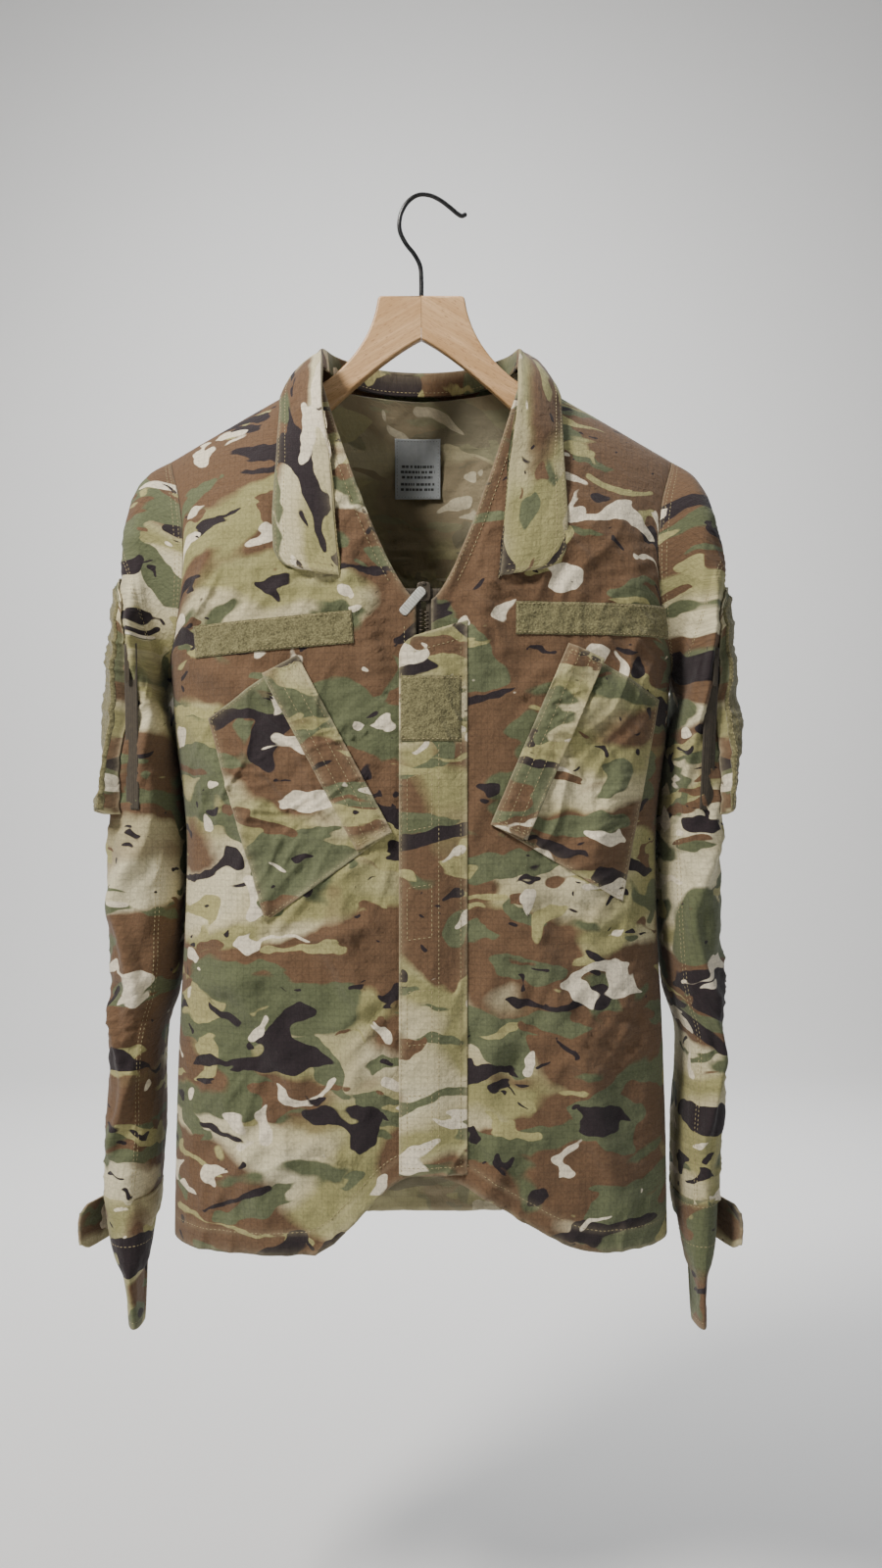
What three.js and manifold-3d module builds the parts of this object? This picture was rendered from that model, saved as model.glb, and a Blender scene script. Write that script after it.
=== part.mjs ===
// A camouflage field coat hanging on a wooden hanger, in millimetres.
// +Z is up, -Y is the coat's front, and the origin is where the hanger's hook rests on what holds it.
// "left" and "right" are the wearer's: the right half lies on the -X side.
import * as THREE from "three";
import { mergeVertices } from "three/addons/utils/BufferGeometryUtils.js";
import Module from "manifold-3d";

const wasm = await Module();
wasm.setup();

// ---- driving dimensions ----
const CLOTH = 2; // thickness of a cloth panel with its seam allowances
const GAP = 0.4; // clearance between pieces that touch
const SEAM_GAP = 0.3; // half of the gap along a sewn edge

const WIRE_R = 1.9;
const SHANK_CLEARANCE = 0.5;
const SHANK_HEAD_R = 4;
const SHANK_HEAD_H = 3;
const SHANK_DEPTH = 24;
const HANGER_TOP_Z = -88;
const HANGER_TOP_HALF_WIDTH = 36;
const HANGER_THICKNESS = 11;
const HANGER_ARM_HEIGHT = 24;
const HANGER_TIP_X = 186;
const HANGER_SEAT = 5.4; // how far the arms lie under the outer face of the shoulder line
const HANGER_APEX_Z = -124;

const SHOULDER_X = 208;
const SHOULDER_Z = -226;
const NECK_X = 84;
const NECK_Z = -156;
const ARMPIT_Z = -402;
const FRONT_DEPTH = 92;
const BACK_DEPTH = 72;
const SHOULDER_ROUND = 165; // height over which the body fills out to its full depth
const SECTION_POWER = 3; // squareness of the body's section
const ARMHOLE_IN = 19; // how far the armhole cuts in from the shoulder point
const HEM_Z = -862;
const HEM_CENTRE_Z = -800; // the front edges are drawn up here
const BACK_HEM_Z = -872;
const V_POINT_Z = -352; // where the closed zip begins

const ZIP_X = 3;
const ZIP_GAP_HALF = 9; // from the zip's centre to each front panel's edge
const ZIP_BOTTOM_Z = -780;
const TAPE_WIDTH = 15;
const TAPE_THICKNESS = 0.8;
const CHAIN_WIDTH = 3;
const CHAIN_THICKNESS = 2.2;
const TOOTH_PITCH = 18;
const SLIDER_LENGTH = 15;
const SLIDER_WIDTH = 11;
const SLIDER_PLATE = 1.2;
const PULL_LENGTH = 26;
const PULL_WIDTH = 8;
const PULL_THICKNESS = 1.2;

const FLY_LEFT_X = 37;
const FLY_WIDTH = 53;
const FLY_TOP_Z = -386;
const FLY_BOTTOM_Z = -797;
const FLY_STANDOFF = 9;

const TAPE_LOOP_LENGTH = 127; // five inches of loop tape
const TAPE_LOOP_HEIGHT = 25.4;
const RANK_LOOP_SIZE = 50.8;
const LOOP_THICKNESS = 1.6;

const FLAP_WIDTH = 31;
const POCKET_DEPTH = 91;
const POCKET_THICKNESS = 2;
const FLAP_STANDOFF = 3.4;

const LABEL_WIDTH = 40;
const LABEL_HEIGHT = 51;
const LABEL_THICKNESS = 0.8;

const SLEEVE_POCKET_THICKNESS = 5;
const SLEEVE_ZIP_TRAVEL = 110;
const CUFF_TAB_LENGTH = 52;
const CUFF_TAB_HEIGHT = 36;

const COLOURS = {
  cloth: new THREE.MeshStandardMaterial({ color: 0x6f6a4c, roughness: 0.95, metalness: 0 }),
  loop: new THREE.MeshStandardMaterial({ color: 0x7f7a56, roughness: 1, metalness: 0 }),
  wood: new THREE.MeshStandardMaterial({ color: 0xc9a57c, roughness: 0.55, metalness: 0 }),
  wire: new THREE.MeshStandardMaterial({ color: 0x17171a, roughness: 0.4, metalness: 0.6 }),
  tape: new THREE.MeshStandardMaterial({ color: 0x6b5f48, roughness: 0.9, metalness: 0 }),
  zipMetal: new THREE.MeshStandardMaterial({ color: 0x5c5548, roughness: 0.45, metalness: 0.7 }),
  label: new THREE.MeshStandardMaterial({ color: 0x8f979c, roughness: 0.85, metalness: 0 }),
  pull: new THREE.MeshStandardMaterial({ color: 0xb9bab2, roughness: 0.8, metalness: 0 }),
};

const coat = new THREE.Group();

function add(name, geometry, material) {
  const mesh = new THREE.Mesh(geometry, material);
  mesh.name = name;
  coat.add(mesh);
  return mesh;
}

// ---- mathematics of curves and solids ----

// A smooth value through stations [[at, value], ...] in rising order of at: cubic pieces with slopes from the neighbours.
function track(stations) {
  const slopes = stations.map((_, i) => {
    const before = stations[Math.max(i - 1, 0)];
    const after = stations[Math.min(i + 1, stations.length - 1)];
    return (after[1] - before[1]) / (after[0] - before[0]);
  });
  return (at) => {
    const last = stations.length - 1;
    if (at <= stations[0][0]) return stations[0][1];
    if (at >= stations[last][0]) return stations[last][1];
    let i = 0;
    while (stations[i + 1][0] < at) i += 1;
    const span = stations[i + 1][0] - stations[i][0];
    const t = (at - stations[i][0]) / span;
    const [h0, h1] = [2 * t ** 3 - 3 * t ** 2 + 1, -2 * t ** 3 + 3 * t ** 2];
    const [g0, g1] = [t ** 3 - 2 * t ** 2 + t, t ** 3 - t ** 2];
    return h0 * stations[i][1] + h1 * stations[i + 1][1] + span * (g0 * slopes[i] + g1 * slopes[i + 1]);
  };
}

const mix = (a, b, t) => a + (b - a) * t;
const clamp = (value, low, high) => Math.min(Math.max(value, low), high);

// One closed solid from vertices and quads, with its faces turned outwards.
function solidFrom(vertices, quads) {
  const index = [];
  for (const [a, b, c, d] of quads) index.push(a, b, c, a, c, d);
  let volume = 0;
  for (let i = 0; i < index.length; i += 3) {
    const [p, q, r] = [vertices[index[i]], vertices[index[i + 1]], vertices[index[i + 2]]];
    volume += p.dot(new THREE.Vector3().crossVectors(q, r));
  }
  if (volume < 0) for (let i = 0; i < index.length; i += 3) [index[i], index[i + 1]] = [index[i + 1], index[i]];
  const geometry = new THREE.BufferGeometry().setFromPoints(vertices);
  geometry.setIndex(index);
  geometry.computeVertexNormals();
  return geometry;
}

// Cloth between two faces: outer(u, v) and inner(u, v), u and v from 0 to 1. A tube closes on itself along u.
function betweenFaces(outer, inner, columns, rows, tube = false) {
  const across = tube ? columns : columns + 1;
  const vertices = [];
  for (const face of [outer, inner])
    for (let j = 0; j <= rows; j += 1)
      for (let i = 0; i < across; i += 1) vertices.push(face(i / columns, j / rows));
  const layer = across * (rows + 1);
  const at = (side, i, j) => side * layer + j * across + (i % across);
  const quads = [];
  for (let j = 0; j < rows; j += 1)
    for (let i = 0; i < columns; i += 1) {
      quads.push([at(0, i, j), at(0, i + 1, j), at(0, i + 1, j + 1), at(0, i, j + 1)]);
      quads.push([at(1, i, j), at(1, i, j + 1), at(1, i + 1, j + 1), at(1, i + 1, j)]);
    }
  for (let i = 0; i < columns; i += 1) {
    quads.push([at(0, i, 0), at(1, i, 0), at(1, i + 1, 0), at(0, i + 1, 0)]);
    quads.push([at(0, i, rows), at(0, i + 1, rows), at(1, i + 1, rows), at(1, i, rows)]);
  }
  if (!tube)
    for (let j = 0; j < rows; j += 1) {
      quads.push([at(0, 0, j), at(0, 0, j + 1), at(1, 0, j + 1), at(1, 0, j)]);
      quads.push([at(0, columns, j), at(1, columns, j), at(1, columns, j + 1), at(0, columns, j + 1)]);
    }
  return solidFrom(vertices, quads);
}

// A curved plate: its near face is point(u, v), and its far face lies thickness along direction(u, v).
function plate(point, direction, thickness, columns, rows) {
  const far = (u, v) => point(u, v).addScaledVector(direction(u, v), thickness);
  return betweenFaces(far, point, columns, rows);
}

function toSolid(geometry) {
  const bare = geometry.clone();
  bare.deleteAttribute("normal");
  bare.deleteAttribute("uv");
  const merged = mergeVertices(bare, 1e-3);
  return new wasm.Manifold(
    new wasm.Mesh({
      numProp: 3,
      vertProperties: new Float32Array(merged.attributes.position.array),
      triVerts: new Uint32Array(merged.index.array),
    }),
  );
}

function toGeometry(solid) {
  const mesh = solid.getMesh();
  const geometry = new THREE.BufferGeometry();
  geometry.setAttribute("position", new THREE.BufferAttribute(new Float32Array(mesh.vertProperties), 3));
  geometry.setIndex(new THREE.BufferAttribute(new Uint32Array(mesh.triVerts), 1));
  geometry.computeVertexNormals();
  return geometry;
}

function box(sizeX, sizeY, sizeZ, x, y, z) {
  return new THREE.BoxGeometry(sizeX, sizeY, sizeZ).translate(x, y, z);
}

// ---- the hanger ----

const shoulderSlope = (SHOULDER_Z - NECK_Z) / (SHOULDER_X - NECK_X);
// Height of the coat's shoulder line at a distance from the centre plane.
const shoulderLine = (x) => NECK_Z + shoulderSlope * (Math.abs(x) - NECK_X);

// The outline of one arm in X and Z. The upper edge sweeps down from the neck and then follows the shoulder line.
function armOutline(side) {
  const seat = (x) => shoulderLine(x) - HANGER_SEAT;
  const shape = new THREE.Shape();
  const centre = SEAM_GAP / 2;
  shape.moveTo(side * centre, HANGER_TOP_Z);
  shape.lineTo(side * (HANGER_TOP_HALF_WIDTH - 3), HANGER_TOP_Z);
  shape.quadraticCurveTo(
    side * HANGER_TOP_HALF_WIDTH, HANGER_TOP_Z, side * (HANGER_TOP_HALF_WIDTH + 0.6), HANGER_TOP_Z - 4);
  shape.quadraticCurveTo(side * (HANGER_TOP_HALF_WIDTH + 6), HANGER_TOP_Z - 42, side * 78, seat(78));
  shape.lineTo(side * HANGER_TIP_X, seat(HANGER_TIP_X));
  const tipBottom = seat(HANGER_TIP_X) - HANGER_ARM_HEIGHT;
  shape.quadraticCurveTo(side * (HANGER_TIP_X + 5), tipBottom + 5, side * (HANGER_TIP_X - 6), tipBottom + 3);
  shape.lineTo(side * 78, seat(78) - HANGER_ARM_HEIGHT - 3);
  shape.quadraticCurveTo(side * 30, HANGER_APEX_Z - 15, side * centre, HANGER_APEX_Z);
  shape.closePath();
  return shape;
}

function hangerHalf(side) {
  const board = new THREE.ExtrudeGeometry(armOutline(side), {
    depth: HANGER_THICKNESS,
    bevelEnabled: false,
    curveSegments: 8,
  });
  board.translate(0, 0, -HANGER_THICKNESS / 2);
  board.rotateX(Math.PI / 2);
  const shankR = WIRE_R + SHANK_CLEARANCE;
  const bore = new THREE.CylinderGeometry(shankR, shankR, SHANK_DEPTH + 10, 16)
    .rotateX(Math.PI / 2)
    .translate(0, 0, HANGER_TOP_Z - SHANK_DEPTH / 2 + 5);
  const headRoom = new THREE.CylinderGeometry(
    SHANK_HEAD_R + SHANK_CLEARANCE, SHANK_HEAD_R + SHANK_CLEARANCE, SHANK_HEAD_H + 2 * SHANK_CLEARANCE, 16)
    .rotateX(Math.PI / 2)
    .translate(0, 0, HANGER_TOP_Z - SHANK_DEPTH - SHANK_HEAD_H / 2);
  return toGeometry(toSolid(board).subtract(toSolid(bore)).subtract(toSolid(headRoom)));
}

// The hook's wire: up the shank, round the loop and out to the bent tip.
const HOOK_ROUTE = [
  [0, -88], [0, -74], [-1, -62], [-6, -52], [-13, -43], [-18, -32], [-17.5, -20], [-12, -9],
  [-3, -2.6], [7, -2.8], [16, -7], [24, -13], [30, -18], [34, -20], [38, -18],
].map(([x, z]) => new THREE.Vector3(x, 0, z));

function hookWire() {
  const section = new THREE.Shape().absarc(0, 0, WIRE_R, 0, 2 * Math.PI);
  const path = new THREE.CatmullRomCurve3(HOOK_ROUTE);
  const wire = new THREE.ExtrudeGeometry(section, { extrudePath: path, steps: 34, curveSegments: 4 });
  const shank = new THREE.CylinderGeometry(WIRE_R, WIRE_R, SHANK_DEPTH + 4, 12)
    .rotateX(Math.PI / 2)
    .translate(0, 0, HANGER_TOP_Z - SHANK_DEPTH / 2 + 2);
  const head = new THREE.CylinderGeometry(SHANK_HEAD_R, SHANK_HEAD_R, SHANK_HEAD_H, 12)
    .rotateX(Math.PI / 2)
    .translate(0, 0, HANGER_TOP_Z - SHANK_DEPTH - SHANK_HEAD_H / 2);
  return toGeometry(toSolid(wire).add(toSolid(shank)).add(toSolid(head)));
}

add("hanger_half_right", hangerHalf(-1), COLOURS.wood);
add("hanger_half_left", hangerHalf(1), COLOURS.wood);
add("hanger_hook", hookWire(), COLOURS.wire);

// ---- the coat's body ----

// Half width of the body by height.
const bodyHalfWidth = track([
  [-880, 203], [-760, 200], [-680, 194], [-600, 184], [-520, 177], [-460, 181], [ARMPIT_Z, 206], [-330, 214], [-200, 214],
]);

// Distance of the armhole's edge from the centre plane, by height.
const armholeX = track([
  [ARMPIT_Z, 206], [-368, SHOULDER_X - 13], [-314, SHOULDER_X - ARMHOLE_IN], [-262, SHOULDER_X - 12],
  [SHOULDER_Z, SHOULDER_X], [-150, SHOULDER_X + 1],
]);

// The panel's side: the armhole above the armpit, and the side seam below it.
const sideX = (z) => (z > ARMPIT_Z ? armholeX(z) : bodyHalfWidth(z));

// Depth of the body's outer face at a distance from the centre plane: a squared oval that closes in a ridge
// along the shoulder line. front is -1 at the front and 1 at the back.
function bodyY(x, z, front) {
  const depth = front < 0 ? FRONT_DEPTH : BACK_DEPTH;
  const share = Math.abs(x) / bodyHalfWidth(z);
  const section = Math.max(1 - share ** SECTION_POWER, 0) ** (1 / SECTION_POWER);
  const below = clamp((shoulderLine(x) - z) / SHOULDER_ROUND, 0, 1);
  return front * (SEAM_GAP + depth * section * Math.sqrt(1 - (1 - below) ** 2));
}

const bodyPoint = (x, z, front) => new THREE.Vector3(x, bodyY(x, z, front), z);

// The outward normal of a face given as point(u, v), from small steps.
function normalOf(point, u, v, towards) {
  const step = 1e-3;
  const [u0, v0] = [Math.min(u, 1 - step), Math.min(v, 1 - step)];
  const along = point(u0 + step, v0).sub(point(u0, v0));
  const down = point(u0, v0 + step).sub(point(u0, v0));
  const normal = along.cross(down).normalize();
  return normal.dot(towards) < 0 ? normal.negate() : normal;
}

// A body panel from its outer face: columns run along its width, rows down to the hem.
function panel(outer, columns, rows, side, front) {
  const outwards = new THREE.Vector3(side * 0.5, front, 0.35);
  const inner = (u, v) => {
    const at = outer(u, v);
    at.addScaledVector(normalOf(outer, u, v, outwards), -CLOTH);
    at.y = front * Math.max(front * at.y, SEAM_GAP);
    return at;
  };
  return betweenFaces(outer, inner, columns, rows);
}

// Rows crowd towards the shoulder, and columns towards the side, where the body is most curved.
const rowShare = (v) => v ** 1.7;
const columnShare = (u) => Math.sin((u * Math.PI) / 2);

// The edge of the neck opening and then of the zip, by height.
function frontEdge(z, side) {
  const open = clamp((z - V_POINT_Z) / (NECK_Z - V_POINT_Z), 0, 1);
  return mix(ZIP_GAP_HALF + side * ZIP_X, NECK_X, open ** 0.75);
}

// Height of the hem at the front, drawn up towards the centre.
const frontHem = (x) => mix(HEM_CENTRE_Z, HEM_Z, THREE.MathUtils.smoothstep(Math.abs(x), 20, 110));

function frontPanel(side) {
  const outer = (u, v) => {
    const share = columnShare(u);
    let top = shoulderLine(mix(NECK_X, SHOULDER_X, share));
    for (let i = 0; i < 8; i += 1) top = shoulderLine(mix(frontEdge(top, side), sideX(top), share));
    const z = mix(top, frontHem(mix(ZIP_GAP_HALF, bodyHalfWidth(HEM_Z), share)), rowShare(v));
    return bodyPoint(side * mix(frontEdge(z, side), sideX(z), share), z, -1);
  };
  return panel(outer, 9, 17, side, -1);
}

const NECK_DIP = 6; // how far the back neck lies under the neck points

function backPanel() {
  const outer = (u, v) => {
    const share = Math.sin((u - 0.5) * Math.PI);
    let top = shoulderLine(SHOULDER_X * share);
    for (let i = 0; i < 8; i += 1) top = shoulderLine(sideX(top) * share);
    const neck = NECK_Z - NECK_DIP * Math.sqrt(Math.max(1 - ((SHOULDER_X * share) / NECK_X) ** 2, 0));
    const z = mix(Math.min(top, neck), BACK_HEM_Z, rowShare(v));
    return bodyPoint(sideX(z) * share, z, 1);
  };
  return panel(outer, 18, 15, 0, 1);
}

add("front_panel_right", frontPanel(-1), COLOURS.cloth);
add("front_panel_left", frontPanel(1), COLOURS.cloth);
add("back_panel", backPanel(), COLOURS.cloth);

// ---- pieces sewn to the fronts ----

const FRONTWARDS = new THREE.Vector3(0, -1, 0);

// A patch on the front from four corners in X and Z: near the top and bottom of its first edge, then of its second.
// lift(u) is its distance from the cloth across its width.
function frontPatch([a, b, c, d], lift, thickness, columns, rows) {
  const point = (u, v) => {
    const x = mix(mix(a[0], b[0], v), mix(c[0], d[0], v), u);
    const z = mix(mix(a[1], b[1], v), mix(c[1], d[1], v), u);
    const reach = 0.97 * bodyHalfWidth(z);
    const on = clamp(x, -reach, reach);
    const slope = bodyY(on + 1, z, -1) - bodyY(on - 1, z, -1);
    const clear = Math.hypot(1, slope / 2) * lift(u) + 2.6 * Math.min(slope * slope, 1);
    return new THREE.Vector3(x, bodyY(on, z, -1) - clear, z);
  };
  return plate(point, () => FRONTWARDS.clone(), thickness, columns, rows);
}

function turnedRectangle(x, z, width, height, degrees) {
  const [c, s] = [Math.cos(THREE.MathUtils.degToRad(degrees)), Math.sin(THREE.MathUtils.degToRad(degrees))];
  const at = (i, j) => [x + (i * width * c - j * height * s) / 2, z + (i * width * s + j * height * c) / 2];
  return [at(-1, 1), at(-1, -1), at(1, 1), at(1, -1)];
}

const NAME_TAPES = {
  right: { x: -115, z: -378, turn: 4.5 },
  left: { x: 138, z: -366, turn: 0 },
};
for (const [side, at] of Object.entries(NAME_TAPES)) {
  const corners = turnedRectangle(at.x, at.z, TAPE_LOOP_LENGTH, TAPE_LOOP_HEIGHT, at.turn);
  add(`name_tape_loop_${side}`, frontPatch(corners, () => GAP, LOOP_THICKNESS, 8, 1), COLOURS.loop);
}

// Slanted chest pockets. hinge is the flap's sewn edge, from its top to its bottom; out and down turn away from it:
// out is the flap's own direction and down the pocket bag's, a little steeper.
const POCKETS = {
  right: { hinge: [[-95, -394.5], [-21, -532]], out: [-0.883, -0.47], down: [-0.79, -0.61] },
  left: { hinge: [[115.5, -385], [54.5, -526]], out: [0.918, -0.397], down: [0.84, -0.54] },
};
const stepFrom = ([x, z], [dx, dz], by) => [x + dx * by, z + dz * by];
for (const [side, pocket] of Object.entries(POCKETS)) {
  const [top, bottom] = pocket.hinge;
  const [outTop, outBottom] = [stepFrom(top, pocket.out, FLAP_WIDTH), stepFrom(bottom, pocket.out, FLAP_WIDTH)];
  const mouth = [stepFrom(top, pocket.out, 6), stepFrom(bottom, pocket.out, 6)];
  const back = [stepFrom(outTop, pocket.down, 0.62 * POCKET_DEPTH), stepFrom(outBottom, pocket.down, POCKET_DEPTH)];
  add(`chest_pocket_${side}`, frontPatch([...mouth, ...back], () => GAP, POCKET_THICKNESS, 8, 6), COLOURS.cloth);
  const lift = (u) => mix(GAP, FLAP_STANDOFF, clamp(u * 5, 0, 1));
  add(`pocket_flap_${side}`, frontPatch([top, bottom, outTop, outBottom], lift, CLOTH, 5, 6), COLOURS.cloth);
}

// ---- the front closure ----

const FRONT_Y = -SEAM_GAP - FRONT_DEPTH; // the outer face at the centre
const TAPE_Y = FRONT_Y + CLOTH + GAP + TAPE_THICKNESS / 2;
const SLIDER_TOP_Z = V_POINT_Z + 14;
const CHAIN_TOP_Z = V_POINT_Z + 9;
const WEB_HALF = 0.4;
const CHAIN_INNER = WEB_HALF + GAP;

function zipTape(side) {
  const length = CHAIN_TOP_Z - ZIP_BOTTOM_Z;
  const middleZ = (CHAIN_TOP_Z + ZIP_BOTTOM_Z) / 2;
  const tapeX = ZIP_X + side * (CHAIN_INNER + CHAIN_WIDTH / 2 + TAPE_WIDTH / 2);
  let solid = toSolid(box(TAPE_WIDTH, TAPE_THICKNESS, length, tapeX, TAPE_Y, middleZ));
  const toothX = ZIP_X + side * (CHAIN_INNER + CHAIN_WIDTH / 2);
  const teeth = Math.floor(length / TOOTH_PITCH);
  for (let i = 0; i < teeth; i += 1) {
    const z = CHAIN_TOP_Z - (i + 0.5) * TOOTH_PITCH;
    solid = solid.add(toSolid(box(CHAIN_WIDTH, CHAIN_THICKNESS, TOOTH_PITCH / 2, toothX, TAPE_Y, z)));
  }
  return toGeometry(solid);
}

function zipSlider() {
  const z = SLIDER_TOP_Z - SLIDER_LENGTH / 2;
  const plateY = CHAIN_THICKNESS / 2 + GAP + SLIDER_PLATE / 2;
  const front = toSolid(box(SLIDER_WIDTH, SLIDER_PLATE, SLIDER_LENGTH, ZIP_X, TAPE_Y - plateY, z));
  const back = toSolid(box(SLIDER_WIDTH, SLIDER_PLATE, SLIDER_LENGTH, ZIP_X, TAPE_Y + plateY, z));
  const web = toSolid(box(2 * WEB_HALF, 2 * plateY, SLIDER_LENGTH * 0.6, ZIP_X, TAPE_Y, z + SLIDER_LENGTH * 0.2));
  const lug = toSolid(box(3, 1.6, 2.4, ZIP_X, TAPE_Y - plateY - 1, SLIDER_TOP_Z - 1.2));
  return toGeometry(front.add(back).add(web).add(lug));
}

// A flat bar from its centre, its long direction, its face direction and its sizes along, across and through.
function bar(centre, along, face, length, width, thickness) {
  const across = new THREE.Vector3().crossVectors(face, along).normalize();
  const through = new THREE.Vector3().crossVectors(along, across).normalize();
  const turn = new THREE.Matrix4().makeBasis(along, across, through).setPosition(centre);
  return new THREE.BoxGeometry(length, width, thickness).applyMatrix4(turn);
}

const PULL_TILT = 41; // degrees that the pull hangs to the wearer's right of straight down
const pullDirection = new THREE.Vector3(
  -Math.sin(THREE.MathUtils.degToRad(PULL_TILT)), 0, -Math.cos(THREE.MathUtils.degToRad(PULL_TILT)));
const PULL_PIVOT = new THREE.Vector3(
  ZIP_X, TAPE_Y - CHAIN_THICKNESS / 2 - GAP - SLIDER_PLATE - 1.4, SLIDER_TOP_Z - 5.4);

function zipPull() {
  const centre = PULL_PIVOT.clone().addScaledVector(pullDirection, PULL_LENGTH / 2);
  return bar(centre, pullDirection, FRONTWARDS, PULL_LENGTH, PULL_WIDTH, PULL_THICKNESS);
}

add("zip_tape_right", zipTape(-1), COLOURS.tape);
add("zip_tape_left", zipTape(1), COLOURS.tape);
add("zip_slider", zipSlider(), COLOURS.zipMetal);
add("zip_pull", zipPull(), COLOURS.pull);
const placketY = TAPE_Y + CHAIN_THICKNESS / 2 + GAP + SLIDER_PLATE + 3 * GAP;
add(
  "inner_placket",
  box(44, CLOTH, CHAIN_TOP_Z - ZIP_BOTTOM_Z, ZIP_X + 1, placketY, (CHAIN_TOP_Z + ZIP_BOTTOM_Z) / 2),
  COLOURS.cloth,
);

// The fly stands clear of the slider's way and comes back to the cloth at both edges.
const flyLift = track([[0, GAP], [0.3, FLY_STANDOFF - 1.2], [0.55, FLY_STANDOFF], [0.8, FLY_STANDOFF - 1.5], [1, 3.6]]);
const flyCorners = [
  [FLY_LEFT_X, FLY_TOP_Z + 8], [FLY_LEFT_X, FLY_BOTTOM_Z],
  [FLY_LEFT_X - FLY_WIDTH, FLY_TOP_Z], [FLY_LEFT_X - FLY_WIDTH, FLY_BOTTOM_Z],
];
add("fly_flap", frontPatch(flyCorners, flyLift, CLOTH, 10, 10), COLOURS.cloth);
const RANK_TOP_Z = -411;
add(
  "rank_loop",
  box(RANK_LOOP_SIZE, LOOP_THICKNESS, RANK_LOOP_SIZE, FLY_LEFT_X - FLY_WIDTH + 1 + RANK_LOOP_SIZE / 2,
    FRONT_Y - FLY_STANDOFF - CLOTH - GAP - LOOP_THICKNESS / 2, RANK_TOP_Z - RANK_LOOP_SIZE / 2),
  COLOURS.loop,
);

// ---- the neck ----

add(
  "neck_label",
  plate(
    (u, v) => {
      const [x, z] = [mix(-LABEL_WIDTH / 2 - 4, LABEL_WIDTH / 2 - 4, u), mix(-193, -193 - LABEL_HEIGHT, v)];
      return bodyPoint(x, z, 1).add(new THREE.Vector3(0, -CLOTH - 3 * GAP, 0));
    },
    () => FRONTWARDS.clone(), LABEL_THICKNESS, 2, 4),
  COLOURS.label,
);

// Stations of the collar from its front end round to the middle of the back, for one side: the fold's x, y, z,
// the free edge's x, y, z, and the height of the stand under the fold. A null y lies just clear of the front.
const COLLAR = [
  [[62, null, -334], [113, null, -326], 2.5],
  [[66, null, -292], [115, null, -285], 2.5],
  [[70, null, -246], [113, null, -240], 2.5],
  [[73, -90, -224], [113, null, -220], 3],
  [[77, -82, -198], [113, null, -200], 4],
  [[80, -52, -158], [113, -44, -184], 8],
  [[80, -18, -138], [108, -12, -163], 14],
  [[71, 20, -134], [99, 24, -170], 18],
  [[42, 48, -136], [62, 66, -184], 20],
  [[0, 56, -137], [0, 68, -188], 20],
];

function collar() {
  const stations = [];
  const seat = ([x, y, z], clear) => new THREE.Vector3(x, y === null ? bodyY(x, z, -1) - clear : y, z);
  const half = COLLAR.map(([fold, edge, stand]) => [seat(fold, 7), seat(edge, edge[2] > -250 ? 10 : 5), stand]);
  const mirrored = ([fold, edge, stand], side) => [
    fold.clone().multiply(new THREE.Vector3(side, 1, 1)), edge.clone().multiply(new THREE.Vector3(side, 1, 1)), stand];
  for (const station of half) stations.push(mirrored(station, -1));
  for (const station of half.slice(0, -1).reverse()) stations.push(mirrored(station, 1));
  const up = new THREE.Vector3(0, 0, 1);
  const rings = stations.map(([fold, edge, stand], i) => {
    const ahead = stations[Math.min(i + 1, stations.length - 1)][0];
    const behind = stations[Math.max(i - 1, 0)][0];
    const along = ahead.clone().sub(behind).normalize();
    const fall = edge.clone().sub(fold).normalize();
    const face = new THREE.Vector3().crossVectors(fall, along).normalize();
    if (face.dot(edge.clone().setZ(0).sub(new THREE.Vector3(0, -20, 0)).setZ(60)) < 0) face.negate();
    const inwards = fall.clone().setZ(0).normalize().negate();
    const foot = fold.clone().addScaledVector(up, -stand);
    return [
      fold, edge, edge.clone().addScaledVector(face, -CLOTH),
      fold.clone().addScaledVector(face, -CLOTH).addScaledVector(fall, CLOTH),
      foot.clone().addScaledVector(fall, CLOTH * 0.4).addScaledVector(up, -0.5),
      foot.clone().addScaledVector(inwards, CLOTH * 0.8),
    ];
  });
  const count = rings[0].length;
  const vertices = rings.flat();
  const quads = [];
  for (let r = 0; r < rings.length - 1; r += 1)
    for (let k = 0; k < count; k += 1) {
      const next = (k + 1) % count;
      quads.push([r * count + k, r * count + next, (r + 1) * count + next, (r + 1) * count + k]);
    }
  const last = (rings.length - 1) * count;
  quads.push([0, 3, 2, 1], [0, 5, 4, 3], [last, last + 1, last + 2, last + 3], [last, last + 3, last + 4, last + 5]);
  return solidFrom(vertices, quads);
}
add("collar", collar(), COLOURS.cloth);

// ---- the sleeves ----

// Stations down each sleeve: the outer point's x and z, the inner point's x and z, and the half depth.
// The first ring is the armhole itself; distances are from the centre plane.
const SLEEVES = {
  right: [
    [224, -238, 208, -408, 58], [238, -262, 210, -418, 62], [244, -302, 211, -430, 64], [243, -362, 208, -446, 64],
    [241, -425, 204, -470, 63], [249, -519, 198, -519, 60], [259, -575, 192, -575, 58], [253, -656, 201, -656, 56],
    [256, -704, 214, -704, 54], [259, -777, 215, -777, 52], [261, -833, 219, -833, 50],
  ],
  left: [
    [226, -240, 208, -408, 58], [240, -266, 210, -418, 62], [247, -310, 211, -430, 64], [247, -366, 209, -446, 64],
    [246, -425, 206, -470, 63], [245, -519, 200, -519, 60], [246, -575, 192, -575, 58], [248, -656, 200, -656, 56],
    [249, -704, 214, -704, 54], [247, -777, 210, -777, 52], [244, -833, 210, -833, 50],
  ],
};
const ARMHOLE_GAP = 1.6;

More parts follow.
